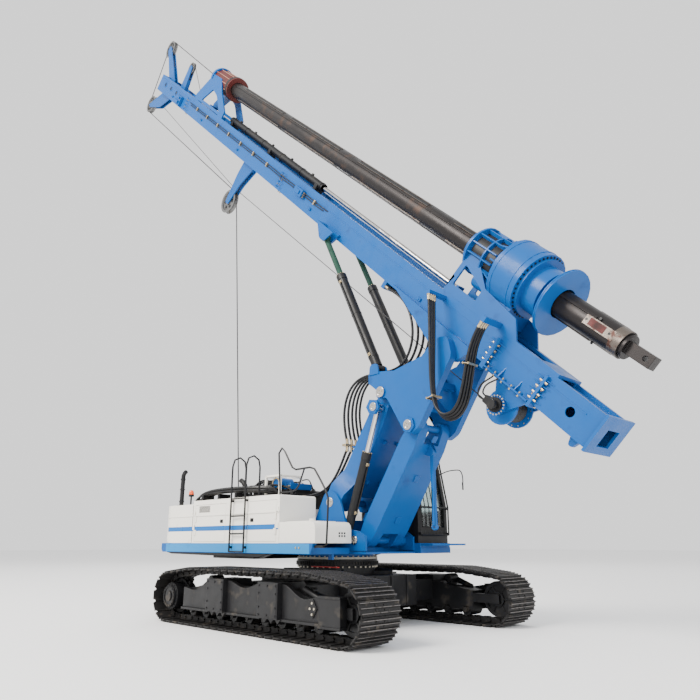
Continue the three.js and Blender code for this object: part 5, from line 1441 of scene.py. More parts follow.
            # Black strips for the grille's slots: painted shade of the openings.
            for k in range(14):
                x = -2.44 + 0.045 * k
                grilles.box((x, y - 0.22, 2.196), (x + 0.02, y + 0.22, 2.206))
        lids.box((-3.60, -1.3, 2.12), (-2.75, -0.75, 2.135))
        lids.box((-3.60, 0.75, 2.12), (-2.75, 1.3, 2.135))
        lids.piece("hood_lids", WHITE, "upper", bevel=0.006)
        grilles.piece("hood_grilles", BLACK, "upper")
        eyes = self.on_upper()
        for x, y in ((-3.3, -1.0), (-3.3, 1.0)):
            loop = circle((x, y, 2.165), (0, 1, 0), 0.055, 16)
            eyes.add(*torus(loop, 0.014, (x, y, 2.165), 8))
        eyes.piece("lifting_eyes", BLACK, "upper")

    def _tank(self) -> None:
        """Makes the tank's lid and filler, small dark marks on its front and two plugs on the skirt."""
        trim = self.on_upper()
        trim.box((0.20, -1.40, 1.715), (0.80, -0.80, 1.728))
        trim.rod((0.48, -1.05, 1.728), (0.48, -1.05, 1.775), 0.055, 20)
        trim.piece("tank_lid", WHITE, "upper", bevel=0.006)
        marks = self.on_upper()
        for k in range(3):
            for j in range(2):
                marks.box((1.0602, -0.98 + 0.06 * k, 1.47 + 0.045 * j), (1.0625, -0.945 + 0.06 * k, 1.50 + 0.045 * j))
        marks.piece("tank_vent_marks", BLACK, "upper")
        step = self.on_upper()
        step.rod((0.60, -1.503, 1.30), (0.60, -1.512, 1.30), 0.018, 16)
        step.rod((0.68, -1.503, 1.30), (0.68, -1.512, 1.30), 0.018, 16)
        step.piece("skirt_plugs", FITTING, "upper")

    def _exhaust(self) -> None:
        """Makes the stack's clamp rings and hood, the beacon and the air intake."""
        stack = self.on_upper()
        x, y = self.stack
        for z in (2.20, 2.45, 2.66):
            stack.ring((x, y, z), (0, 0, 1), 0.054, 0.044, 0.03, 24)
        stack.disc((x, y, 2.121), (0, 0, 1), 0.085, 0.014, 24)
        x, y = self.beacon
        stack.rod((x, y, 2.13), (x, y, 2.32), 0.018, 12)
        stack.disc((x, y, 2.30), (0, 0, 1), 0.055, 0.04, 20)
        intake = spline([(-2.45, -0.35, 2.30), (-2.45, -0.38, 2.48), (-2.50, -0.40, 2.60), (-2.60, -0.40, 2.66)], 6)
        stack.tube(intake, 0.055, 16, 0.95)
        stack.piece("exhaust_trim", BLACK, "upper")
        lamp = self.on_upper()
        steps = 6
        for k in range(steps):
            a, b = (pi / 2 * j / steps for j in (k, k + 1))
            lamp.rod((x, y, 2.342 + 0.075 * sin(a) * 1.2), (x, y, 2.342 + 0.075 * sin(b) * 1.2),
                     0.052 * cos(a) ** 0.5, 20, max(cos(b), 0.05) ** 0.5 / cos(a) ** 0.5)
        lamp.piece("beacon", AMBER, "upper")

    def _deck(self) -> None:
        """Makes the pumps, valve blocks, pipes and hose bends on the deck."""
        rng = random.Random(7)
        metal, blue, pipes, frame = (self.on_upper() for _ in range(4))
        fittings = self.on_upper()
        for x, y in ((-2.05, -0.25), (-2.05, 0.15), (-1.72, -0.25), (-1.72, 0.15)):
            metal.box((x - 0.13, y - 0.13, 2.33), (x + 0.13, y + 0.13, 2.42))
            metal.rod((x, y, 2.42), (x, y, 2.50), 0.06, 16)
            fittings.bolts([(x + dx, y + dy, 2.42) for dx in (-0.1, 0.1) for dy in (-0.1, 0.1)],
                           (0, 0, 1), 0.014, 0.014)
        for k in range(6):
            x = -1.30 + 0.075 * k
            blue.box((x, -0.44, 2.38), (x + 0.055, 0.10, 2.50))
            fittings.rod((x + 0.027, -0.44, 2.44), (x + 0.027, -0.475, 2.44), 0.018, 6)
        for x in (-1.42, -0.98):
            for y in (-0.62, -0.10):
                frame.box((x - 0.022, y - 0.022, 2.15), (x + 0.022, y + 0.022, 2.66))
            frame.box((x - 0.022, -0.62, 2.62), (x + 0.022, -0.10, 2.66))
        for y in (-0.62, -0.10):
            frame.box((-1.42, y - 0.022, 2.62), (-0.98, y + 0.022, 2.66))
        blue.rod((-1.20, -0.54, 2.50), (-1.20, -0.18, 2.50), 0.12, 24)
        fittings.ring((-1.20, -0.542, 2.50), (0, -1, 0), 0.12, 0.09, 0.012, 24)
        for k in range(10):
            y, z = -0.98 + 0.045 * (k % 5), 2.33 + 0.05 * (k // 5) + rng.uniform(0.0, 0.05)
            a, b = rng.uniform(-3.5, -3.3), rng.uniform(-1.7, -1.5)
            pipes.tube(spline([(a, y, 2.15), (a + 0.10, y, z - 0.08), (a + 0.35, y, z), (-2.5, y + 0.02, z + 0.04),
                               (b, y + 0.05, z + 0.02), (b + 0.35, y + 0.22, z), (b + 0.5, -0.60, 2.30)], 6), 0.021, 8)
        for x in (-3.1, -2.5, -1.9):
            metal.box((x - 0.03, -1.02, 2.12), (x + 0.03, -0.74, 2.34))
        for k in range(22):
            y = rng.uniform(-0.52, 0.45)
            a = rng.uniform(-2.75, -1.6)
            b = a + rng.uniform(0.5, 1.25)
            z = rng.uniform(2.36, 2.50)
            rise = rng.uniform(0.02, 0.14)
            path = spline([(a, y, 2.22), (a + 0.06, y, z), ((a + b) / 2, y + rng.uniform(-0.12, 0.12), z + rise),
                           (b - 0.08, y + rng.uniform(-0.15, 0.15), z), (min(b, -0.64), y, 2.26)], 5)
            pipes.tube(path, rng.choice((0.014, 0.018, 0.022)), 8)
            fittings.rod(path[0], path[2], 0.026, 6)
        metal.box((-2.30, -0.56, 2.15), (-1.45, -0.50, 2.30))
        metal.piece("deck_pumps", BLACK, "upper", bevel=0.008)
        blue.piece("deck_valves", BLUE, "upper", bevel=0.006)
        pipes.piece("deck_pipes", HOSE, "upper")
        frame.piece("deck_box_frame", WHITE, "upper", bevel=0.004)
        fittings.piece("deck_fittings", FITTING, "upper")

    def _winch_trim(self) -> None:
        """Makes the main winch's bolts and motor."""
        x, z = self.winch
        winch = self.on_upper()
        for side in SIDES:
            winch.bolts(circle((x, side * 0.525, z), (0, -side, 0), 0.29, 18), (0, -side, 0), 0.016, 0.014)
        winch.piece("main_winch_bolts", BOLT, "main_winch")
        motor = self.on_upper()
        motor.rod((x, -0.615, z), (x, -0.66, z), 0.20, 28)
        motor.bolts(circle((x, -0.66, z), (0, -1, 0), 0.17, 14), (0, -1, 0), 0.014, 0.012)
        motor.piece("main_winch_cap", BLACK, "upper", bevel=0.004)

    def _underside(self) -> None:
        """Makes the black pan and strips under the hood, painted shade beneath the upper body, and the rear lamps."""
        # Black boxes and sloping strips under the hood and the skirt: painted shade under the upper body.
        pan = self.on_upper()
        pan.box((-2.13, -1.30, 1.10), (-0.80, 1.30, 1.20))
        for side in SIDES:
            pan.plate([(-3.62, 1.2005), (-0.10, 1.2005), (-0.42, 1.13), (-3.40, 1.165)], side * 1.36, side * 1.485)
        pan.box((-3.65, -1.38, 1.17), (-2.20, 1.38, 1.20))
        pan.piece("underbody_shade_pan", BLACK, "upper", bevel=0.01)
        lamps = self.on_upper()
        for y in (-1.0, 1.0):
            lamps.rod((self.rear, y, 1.78), (self.rear - 0.006, y, 1.78), 0.05, 24)
        lamps.piece("rear_lamps", AMBER, "upper")


# ------------------------------------------------------------------------ cab
@dataclass
class Cab(Assembly):
    """Window panes, seals, seat cushions, console, mirrors, lamps and wiper of the cab."""

    left: float = 1.50
    right: float = 0.65
    rear: float = 0.02
    front: float = 1.40
    floor: float = 1.372
    waist: float = 2.0
    top: float = 2.99
    lean: float = 0.19

    def build(self) -> None:
        """Makes all of the cab's details."""
        self._panes()
        self._seat()
        self._console()
        self._outside()

    def _front_x(self, z: float) -> float:
        """X of the windscreen's plane at a height."""
        if z <= self.waist:
            return self.front
        return self.front - self.lean * (z - self.waist) / (self.top - self.waist)

    def _panes(self) -> None:
        """Makes the panes of glass, each riding with what it is set in."""
        glass = self.on_upper()
        low, high = 1.66, 2.83
        near, far = 0.75, 1.40
        stops = (low, self.waist, high)
        for z0, z1 in zip(stops, stops[1:]):
            x0, x1 = self._front_x(z0) - 0.03, self._front_x(z1) - 0.03
            glass.add([(x + dx, y, z) for dx in (0.0, 0.006) for x, y, z in
                       ((x0, near, z0), (x0, far, z0), (x1, far, z1), (x1, near, z1))], BLOCK_FACES)
        glass.plate([(0.18, 2.06), (1.22, 2.06), (1.075, 2.82), (0.18, 2.82)], self.right + 0.022, self.right + 0.028)
        glass.box((self.rear + 0.022, 0.77, 2.21), (self.rear + 0.028, 1.38, 2.78))
        glass.piece("cab_panes", GLASS, "upper")
        pane = self.on_upper()
        pane.plate([(0.50, 1.96), (1.24, 1.96), (1.24, 2.0), (1.075, 2.81), (0.50, 2.81)],
                   self.left - 0.026, self.left - 0.020)
        pane.piece("cab_door_pane", GLASS, "cab_door_leaf")
        seal = self.on_upper()
        outline = [(0.17, 2.05), (1.23, 2.05), (1.08, 2.83), (0.17, 2.83)]
        seal.tube([(x, self.right + 0.002, z) for x, z in (*outline, outline[0])], 0.010, 6)
        seal.piece("cab_seals", HOSE, "upper")
        door_seal = self.on_upper()
        outline = [(0.49, 1.95), (1.25, 1.95), (1.25, 2.0), (1.08, 2.82), (0.49, 2.82)]
        door_seal.tube([(x, self.left + 0.002, z) for x, z in (*outline, outline[0])], 0.010, 6)
        door_seal.piece("cab_door_seal", HOSE, "cab_door_leaf")
        handle = self.on_upper()
        handle.rod((0.30, self.left + 0.001, 1.86), (0.30, self.left + 0.05, 1.86), 0.010, 8)
        handle.rod((0.46, self.left + 0.001, 1.86), (0.46, self.left + 0.05, 1.86), 0.010, 8)
        handle.rod((0.28, self.left + 0.05, 1.86), (0.48, self.left + 0.05, 1.86), 0.013, 10)
        handle.box((0.24, self.left, 1.90), (0.34, self.left + 0.012, 1.99))
        handle.piece("cab_door_handle", BLACK, "cab_door_leaf")

    def _seat(self) -> None:
        """Makes the seat: three padded cushions, a shell, a pedestal and two arm rests."""
        cushions = (
            ("seat_cushion", (0.50, 1.075, 1.86), (0.50, 0.46, 0.13), 0.0),
            ("seat_back", (0.285, 1.075, 2.18), (0.12, 0.44, 0.56), -0.12),
            ("seat_headrest", (0.245, 1.075, 2.475), (0.10, 0.28, 0.13), -0.12))
        for name, centre, size, lean in cushions:
            shape = self._cushion(centre, size, lean)
            cushion = shape.piece(name, SEAT, "upper", rounds=1)
            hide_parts("operator_seat")
        base = self.on_upper()
        base.box((0.30, 0.90, 1.42), (0.72, 1.25, 1.50))
        base.box((0.36, 0.95, 1.50), (0.66, 1.20, 1.72))
        base.box((0.26, 0.86, 1.72), (0.74, 1.29, 1.79))
        base.box((0.215, 0.90, 1.79), (0.235, 1.25, 2.36))
        for y in (0.845, 1.305):
            base.box((0.24, y - 0.012, 1.80), (0.30, y + 0.012, 2.06))
            base.box((0.26, y - 0.020, 2.04), (0.62, y + 0.020, 2.075))
            base.rod((0.60, y, 2.07), (0.63, y, 2.20), 0.016, 10)
            base.rod((0.63, y, 2.20), (0.634, y, 2.24), 0.026, 12)
        frame = base.piece("seat_frame", BLACK, "upper", bevel=0.006)
        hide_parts("operator_seat")

    @staticmethod
    def _quad_box(size: tuple[float, float, float], cuts: int = 6) -> Solid:
        """A box whose faces are divided, with shared corners.

        Args:
            size: Its three sides.
            cuts: Divisions of each side.

        Returns:
            Its points and faces.
        """
        index: dict[tuple[int, int, int], int] = {}
        points: list[Vector] = []
        faces: list[tuple[int, ...]] = []

        def corner(key: tuple[int, int, int]) -> int:
            """Number of the point at a grid place."""
            if key not in index:
                index[key] = len(points)
                points.append(Vector([(key[k] / cuts - 0.5) * size[k] for k in range(3)]))
            return index[key]

        for axis in range(3):
            u, v = (axis + 1) % 3, (axis + 2) % 3
            for level in (0, cuts):
                for i in range(cuts):
                    for j in range(cuts):
                        keys = []
                        for a, b in ((0, 0), (1, 0), (1, 1), (0, 1)):
                            key = [0, 0, 0]
                            key[axis], key[u], key[v] = level, i + a, j + b
                            keys.append(corner(tuple(key)))
                        faces.append(tuple(keys))
        return points, faces

    def _cushion(self, centre: Point, size: tuple[float, float, float], lean: float) -> Shape:
        """A plump cushion with a welted rim.

        Args:
            centre: Its middle in the upper frame.
            size: Its three sides.
            lean: How far it leans back, in radians.

        Returns:
            The shape.
        """
        thin = min(range(3), key=lambda k: size[k])
        points, faces = self._quad_box(size)
        turn = Matrix.Rotation(lean, 3, "Y")
        plump = []
        for p in points:
            rim = 1.0
            for k in range(3):
                if k != thin:
                    rim *= max(0.0, 1 - abs(2 * p[k] / size[k]) ** 3)
            grown = p.copy()
            grown[thin] *= 0.72 + 0.28 * rim ** 0.5
            plump.append(Vector(centre) + turn @ grown)
        shape = self.on_upper()
        shape.add(plump, faces)
        return shape

    def _console(self) -> None:
        """Makes the consoles, pedals and screen."""
        inside = self.on_upper()
        inside.box((1.02, 0.74, 1.43), (1.26, 0.86, 1.98))
        inside.box((1.06, 0.90, 1.43), (1.20, 1.00, 1.60))
        inside.box((1.06, 1.14, 1.43), (1.20, 1.24, 1.60))
        inside.box((1.16, 0.76, 2.02), (1.20, 1.00, 2.22))
        inside.box((1.20, 0.84, 1.94), (1.24, 0.90, 2.10))
        inside.box((0.08, 0.72, 1.43), (0.16, 1.30, 2.10))
        inside.piece("cab_console", SEAT, "upper", bevel=0.008)
        screen = self.on_upper()
        screen.box((1.157, 0.775, 2.035), (1.160, 0.985, 2.205))
        screen.piece("cab_screen", GLASS, "upper")

    def _outside(self) -> None:
        """Makes the roof's edge, lamps, wiper and mirror."""
        trim = self.on_upper()
        for y in (0.80, 1.07, 1.34):
            trim.box((1.17, y - 0.055, 2.895), (1.235, y + 0.055, 2.965))
        trim.rod((1.415, 1.07, 1.62), (self._front_x(2.45) + 0.012, 1.20, 2.45), 0.007, 6)
        trim.rod((self._front_x(2.10) + 0.014, 1.12, 2.10), (self._front_x(2.62) + 0.014, 1.24, 2.62), 0.010, 6)
        trim.tube(spline([(1.27, 1.46, 2.62), (1.38, 1.57, 2.69), (1.52, 1.60, 2.71), (1.68, 1.60, 2.69),
                          (1.73, 1.60, 2.60), (1.73, 1.60, 2.33)], 6), 0.011, 8)
        trim.box((1.722, 1.585, 2.33), (1.738, 1.615, 2.47))
        trim.piece("cab_trim", BLACK, "upper", bevel=0.004)
        lamps = self.on_upper()
        for y in (0.80, 1.07, 1.34):
            lamps.rod((1.235, y, 2.93), (1.240, y, 2.93), 0.028, 18)
        lamps.piece("cab_lamps", LENS, "upper")


# -------------------------------------------------------------------- linkage
@dataclass
class Linkage(Assembly):
    """Pins, cheek plates, glands, hose ends and bolts of the boom, link, triangle and cylinders."""

    boom_half: float = 0.20
    luffing_y: float = 0.50
    luffing_barrel: tuple[float, float] = (0.08, 1.59)
    leaning_y: float = 0.44
    leaning_barrel: tuple[float, float] = (0.095, 2.30)

    def build(self) -> None:
        """Makes all of the linkage's details."""
        self._pins()
        self._cylinders()
        self._boom()

    def _pin(self, shape: Shape, bolts: Shape, centre: Point, side: int, radius: float) -> None:
        """Adds a pin's end, its keeper and two bolts.

        Args:
            shape: The shape for the pin.
            bolts: The shape for its bolts.
            centre: The middle of the pin's end.
            side: The way it faces along Y.
            radius: The pin's radius.
        """
        x, y, z = centre
        way, outer = (0, side, 0), (x, y + side * 0.012, z)
        shape.disc(centre, way, radius, 0.012, 28)
        shape.ring(outer, way, radius * 0.86, radius * 0.62, 0.008, 28)
        bolts.bolts(circle(outer, way, radius * 0.40, 3, 0.5), way, radius * 0.16, 0.012)

    def _pins(self) -> None:
        """Makes the pin ends of every joint of the linkage."""
        sets = {
            "upper": [((0.46, 0.625, 2.07), 0.085), ((1.07, 0.625, 1.42), 0.075), ((0.72, 0.60, 1.39), 0.07)],
            "triangle": [((1.66, 0.575, 3.88), 0.095), ((2.27, 0.585, 3.23), 0.085)],
            "boom_arm": [((1.54, 0.627, 3.63), 0.075)],
        }
        for body, pins in sets.items():
            caps, bolts = self.on_upper(), self.on_upper()
            for (x, y, z), radius in pins:
                for side in SIDES:
                    self._pin(caps, bolts, (x, side * y, z), side, radius)
            caps.piece(f"pin_ends_on_{body}", CHROME, body)
            bolts.piece(f"pin_bolts_on_{body}", BOLT, body)

        ears, more = self.on_upper(), self.on_upper()
        for side in SIDES:
            more.disc((2.27, side * 0.552, 3.23), (0, side, 0), 0.135, 0.032, 6)
            ears.disc((1.54, side * 0.60, 3.63), (0, side, 0), 0.125, 0.026, 6)
        ears.piece("boom_ears", BLUE, "boom_arm", bevel=0.004)
        more.piece("triangle_ears", BLUE, "triangle", bevel=0.004)

    def _cylinders(self) -> None:
        """Makes the glands, ports, pipes and wrappings of the two pairs of cylinders."""
        for side in SIDES:
            self._cylinder("luffing", side, self.places.luffing, self.luffing_y, self.luffing_barrel,
                           "luffing_barrels")
            self._cylinder("mast_cylinder", side, self.places.leaning, self.leaning_y, self.leaning_barrel,
                           "mast_cylinder_barrels")

    def _cylinder(self, name: str, side: int, frame: Matrix, y: float, barrel: tuple[float, float],
                  body: str) -> None:
        """Makes one cylinder's trim.

        Args:
            name: The pair's name.
            side: 1 for the left, -1 for the right.
            frame: The pair's frame, Z along the barrel.
            y: How far out it stands.
            barrel: The barrel's radius and length.
            body: The body it rides on.
        """
        radius, length = barrel
        which = "left" if side > 0 else "right"
        low = length * 0.34 if name == "luffing" else 0.30
        at = frame @ Matrix.Translation((0, side * y, 0))
        black = Shape(at)
        black.ring((0, 0, length - 0.13), (0, 0, 1), radius + 0.008, radius - 0.002, 0.125, 32)
        black.ring((0, 0, low - 0.06), (0, 0, 1), radius + 0.004, radius - 0.002, 0.05, 32)
        black.ring((0, 0, length * 0.55), (0, 0, 1), radius + 0.004, radius - 0.002, 0.04, 32)
        way = Vector((1, 0, 0)) if name == "luffing" else Vector((0, side, 0))
        across = Vector((way.y, way.x, 0))
        line = [(radius + 0.014, low), (radius + 0.022, low + 0.06), (radius + 0.022, length - 0.30),
                (radius + 0.014, length - 0.20)]
        black.tube(spline([way * out + Vector((0, 0, s)) for out, s in line], 5), 0.012, 8)
        black.piece(f"{name}_gland_{which}", BLACK, body, bevel=0.004)
        bright = Shape(at)
        bright.bolts(circle((0, 0, length - 0.005), (0, 0, 1), radius + 0.001, 12), (0, 0, 1), 0.012, 0.010)
        for s in (low, length - 0.20):
            up = Vector((0, 0, 1))
            low_corner = way * (radius - 0.01) - across * 0.03 + up * (s - 0.03)
            bright.box(low_corner, way * (radius + 0.022) + across * 0.03 + up * (s + 0.03))
            bright.rod(way * (radius + 0.02) + up * s, way * (radius + 0.04) + up * s, 0.016, 6)
        bright.piece(f"{name}_ports_{which}", FITTING, body, bevel=0.003)

    def _boom(self) -> None:
        """Makes the boom's lugs, hose guide bolts and the front link's plates."""
        boom = Shape(self.places.boom)
        for s in (0.55, 1.35):
            for y in (-0.16, 0.16):
                boom.box((self.boom_half - 0.002, y - 0.03, s - 0.03), (self.boom_half + 0.05, y + 0.03, s + 0.03))
        boom.piece("boom_lugs", BLUE, "boom_arm", bevel=0.006)
        link = Shape(self.places.link)
        for s in (0.45, 1.25, 2.0):
            link.box((0.168, -0.06, s), (0.186, 0.06, s + 0.12))
        link.piece("front_link_pads", BLUE, "link_arm", bevel=0.006)
        rim = self.on_upper()
        rim.bolts([(1.33, d - 0.155, 4.385) for d in (-0.165, 0.165)], (0, 0, 1), 0.014, 0.012)
        rim.piece("hose_guide_bolts", BOLT, "triangle")


# ----------------------------------------------------------------------- mast
@dataclass
class Mast(Assembly):
    """Flanges' ribs and bolts, pipes, clamps, valve block and head details of the mast."""

    half: float = 0.33
    back: float = -0.47
    joints: tuple[float, ...] = (1.08, 2.11, 9.76, 16.60)

    def build(self) -> None:
        """Makes all of the mast's details."""
        self._ribs()
        self._pipes()
        self._head()
        self._sheaves()
        self._winch()
        self._crowd()

    def _ribs(self) -> None:
        """Makes the gussets and bolts at the mast's bolted joints, and its side bands."""
        ribs, bolts = self.on_mast(), self.on_mast()
        for s in self.joints:
            for side in SIDES:
                y = side * self.half
                for n in (-0.40, -0.28, -0.16, -0.06):
                    for up in SIDES:
                        edge = s + up * 0.045
                        ribs.add([(n + d, yy, ss) for d in (-0.007, 0.007)
                                  for yy, ss in ((y, edge), (y + side * 0.048, edge), (y, edge + up * 0.13))],
                                 WEDGE_FACES)
                for up in SIDES:
                    row = [(n, y + side * 0.03, s + up * 0.040) for n in (-0.34, -0.22, -0.11)]
                    bolts.bolts(row, (0, 0, up), 0.016, 0.016)
            for up in SIDES:
                row = [(self.back - 0.03, y, s + up * 0.040) for y in (-0.25, -0.15, -0.05, 0.05, 0.15, 0.25)]
                bolts.bolts(row, (0, 0, up), 0.016, 0.016)
        for side in SIDES:
            y = side * self.half
            ribs.box((-0.105, y, 0.30), (-0.085, y + side * 0.006, 16.5))
            ribs.box((self.back - 0.012, y - side * 0.02, 1.12), (self.back + 0.012, y + side * 0.07, 2.07))
            for s in (1.30, 1.48, 1.66, 1.84, 2.0):
                bolts.rod((self.back - 0.045, y + side * 0.042, s), (self.back + 0.04, y + side * 0.042, s), 0.015, 8)
            for s in (1.39, 1.75):
                ribs.add([(n, y + side * out, s + d) for d in (-0.008, 0.008)
                          for n, out in ((self.back, 0.0), (self.back, 0.068), (self.back + 0.17, 0.0))],
                         WEDGE_FACES)
            for s in (1.08, 2.11):
                for n in (-0.40, -0.30, -0.20, -0.10):
                    bolts.rod((n, y + side * 0.036, s - 0.075), (n, y + side * 0.036, s + 0.075), 0.016, 8)
        ribs.piece("mast_flange_ribs", BLUE, "mast")
        bolts.piece("mast_flange_bolts", FITTING, "mast")
        eyes = self.on_mast()
        for s in (4.0, 8.2, 12.4, 15.2, 17.9):
            for side in SIDES:
                eyes.box((-0.36, side * self.half, s - 0.05), (-0.30, side * (self.half + 0.03), s + 0.05))
                eyes.rod((-0.33, side * self.half, s), (-0.33, side * (self.half + 0.040), s), 0.02, 12)
        eyes.piece("mast_side_lugs", BLUE, "mast", bevel=0.005)

    def _pipes(self) -> None:
        """Makes the pair of pipes with clamps along the mast's right side."""
        pipes, clamps = self.on_mast(), self.on_mast()
        y = -self.half - 0.034
        for k, n in enumerate((-0.125, -0.175)):
            top = 16.42 - 0.10 * k
            line = spline([(n, -self.half + 0.01, 7.55 + 0.15 * k), (n, y, 7.67 + 0.15 * k), (n, y, 8.3), (n, y, 9.55),
                           (n, y - 0.03, 9.66), (n, y - 0.03, 9.88), (n, y, 10.0), (n, y, 13.0), (n, y, top - 0.15),
                           (n, y, top - 0.08), (n, -self.half + 0.01, top)], 4)
            pipes.tube(line, 0.013, 8)
        s = 8.12
        while s < 16.2:
            if all(abs(s - j) > 0.35 for j in (*self.joints, 8.80)):
                clamps.box((-0.205, -self.half - 0.052, s - 0.02), (-0.095, -self.half + 0.002, s + 0.02))
                clamps.bolts([(-0.15, -self.half - 0.052, s)], (0, -1, 0), 0.010, 0.010)
            s += 0.84
        pipes.piece("mast_pipes", BLACK, "mast")
        clamps.piece("mast_pipe_clamps", FITTING, "mast", bevel=0.003)
        valve = self.on_mast()
        valve.box((-0.30, self.half, 7.5), (-0.08, self.half + 0.10, 7.86))
        for s in (7.56, 7.65, 7.74, 7.83):
            valve.rod((-0.19, self.half + 0.10, s - 0.01), (-0.19, self.half + 0.135, s - 0.01), 0.022, 12)
        valve.piece("mast_valve_block", BLACK, "mast", bevel=0.006)
        unit = self.on_mast()
        unit.box((-0.25, -self.half - 0.105, 8.62), (-0.08, -self.half, 8.98))
        unit.box((-0.21, -self.half - 0.135, 8.70), (-0.12, -self.half - 0.105, 8.90))
        unit.piece("mast_pipe_unit", BLUE, "mast", bevel=0.008)
        ends = self.on_mast()
        for n in (-0.125, -0.175, -0.22):
            for at, up in ((8.98, 1), (8.62, -1)):
                ends.rod((n, -self.half - 0.05, at), (n, -self.half - 0.05, at + up * 0.05), 0.020, 6)
        ends.piece("mast_pipe_unions", FITTING, "mast")

    def _head(self) -> None:
        """Makes the head's lightening holes, in black as painted shade, with their rims, the side brackets and the edge
        strips.
        """
        dark, block, plates = self.on_mast(), self.on_mast(), self.on_mast()
        for side in SIDES:
            y = side * self.half
            for s in (17.75, 18.30, 18.85):
                # Black discs for the lightening holes: painted shade inside the holes.
                dark.disc((-0.17, y, s), (0, side, 0), 0.062, 0.0025, 24)
                plates.ring((-0.17, y, s), (0, side, 0), 0.082, 0.064, 0.008, 24)
            block.box((-0.44, y, 17.02), (-0.14, y + side * 0.09, 17.42))
            block.box((-0.40, y + side * 0.09, 17.08), (-0.30, y + side * 0.14, 17.36))
            block.box((-0.24, y + side * 0.09, 17.08), (-0.17, y + side * 0.13, 17.36))
            plates.box((-0.06, y, 16.70), (-0.035, y + side * 0.012, 19.30))
        dark.piece("mast_head_hole_shade", BLACK, "mast")
        block.piece("mast_head_brackets", BLUE, "mast", bevel=0.008)
        plates.piece("mast_head_rims", BLUE, "mast")

    def _sheaves(self) -> None:
        """Makes the four grooved sheaves, with black discs as painted shade for their lightening holes."""
        wheels = (("main_sheave", "sheave_main", 0.85, 20.53, 0.298, 0.06),
                  ("aux_sheave", "sheave_aux", 0.70, 18.22, 0.208, 0.035),
                  ("rear_sheave", "sheave_rear", -1.09, 20.16, 0.298, 0.06),
                  ("guide_sheave", "sheave_guide", -1.64, 12.13, 0.328, 0.06))
        for name, node, n, s, radius, half in wheels:
            wheel = self.on_mast()
            groove = radius - 0.035
            wheel.turned((n, 0, s), (0, 1, 0), [
                (0.040, -half), (0.10, -half), (0.10, -half * 0.5), (radius * 0.76, -half * 0.3),
                (radius * 0.80, -half * 0.95), (radius, -half * 0.95), (radius - 0.006, -half * 0.7), (groove, -0.012),
                (groove, 0.012), (radius - 0.006, half * 0.7), (radius, half * 0.95), (radius * 0.80, half * 0.95),
                (radius * 0.76, half * 0.3), (0.10, half * 0.5), (0.10, half), (0.040, half)], 48)
            made = wheel.piece(name + "_wheel", SHEAVE, name)
            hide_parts(node)
            # Black discs for the lightening holes: painted shade inside the holes.
            dark = self.on_mast()
            for side in SIDES:
                for k in range(6):
                    a = pi * k / 3
                    reach = radius * 0.52
                    hole = (n + reach * cos(a), side * half * 0.36, s + reach * sin(a))
                    dark.disc(hole, (0, side, 0), radius * 0.13, 0.012, 18)
            dark.piece(name + "_holes", BLACK, name)

    def _winch(self) -> None:
        """Makes the auxiliary winch's bolts and motor cap."""
        n, s = -0.82, 1.5
        bolts = self.on_mast()
        for side in SIDES:
            bolts.bolts(circle((n, side * 0.20, s), (0, -side, 0), 0.245, 14), (0, -side, 0), 0.012, 0.012)
        bolts.piece("mast_winch_bolts", BOLT, "mast_winch")
        cap = self.on_mast()
        cap.disc((n, -0.384, s), (0, -1, 0), 0.115, 0.05, 28)
        cap.disc((n, -0.434, s), (0, -1, 0), 0.075, 0.10, 20)
        cap.box((n - 0.06, -0.53, s - 0.01), (n + 0.06, -0.44, s + 0.15))
        cap.tube(spline([(n - 0.03, -0.50, s + 0.14), (n - 0.03, -0.52, s + 0.26), (n + 0.10, -0.50, s + 0.34),
                         (n + 0.32, -0.42, s + 0.30)], 6), 0.014, 8)
        cap.tube(spline([(n + 0.03, -0.50, s + 0.14), (n + 0.05, -0.52, s + 0.22), (n + 0.16, -0.50, s + 0.26),
                         (n + 0.34, -0.42, s + 0.20)], 6), 0.014, 8)
        cap.piece("mast_winch_motor", BLACK, "mast", bevel=0.003)
        ring = self.on_mast()
        ring.bolts(circle((n, -0.384, s), (0, -1, 0), 0.145, 18), (0, -1, 0), 0.013, 0.018)
        ring.piece("mast_winch_ring_bolts", BOLT, "mast")

    def _crowd(self) -> None:
        """Makes the crowd cylinder's hoops and the small blocks on its barrel."""
        hoops = self.on_mast()
        for s in (8.62, 9.6, 10.7, 11.8, 12.9, 13.86):
            hoops.ring((0.17, 0, s), (0, 0, 1), 0.103, 0.094, 0.05, 32)
        for s in (9.2, 10.3, 11.4, 12.5, 13.5):
            hoops.box((0.262, -0.02, s - 0.03), (0.30, 0.02, s + 0.03))
        hoops.piece("crowd_barrel_hoops", BLACK, "mast", bevel=0.003)


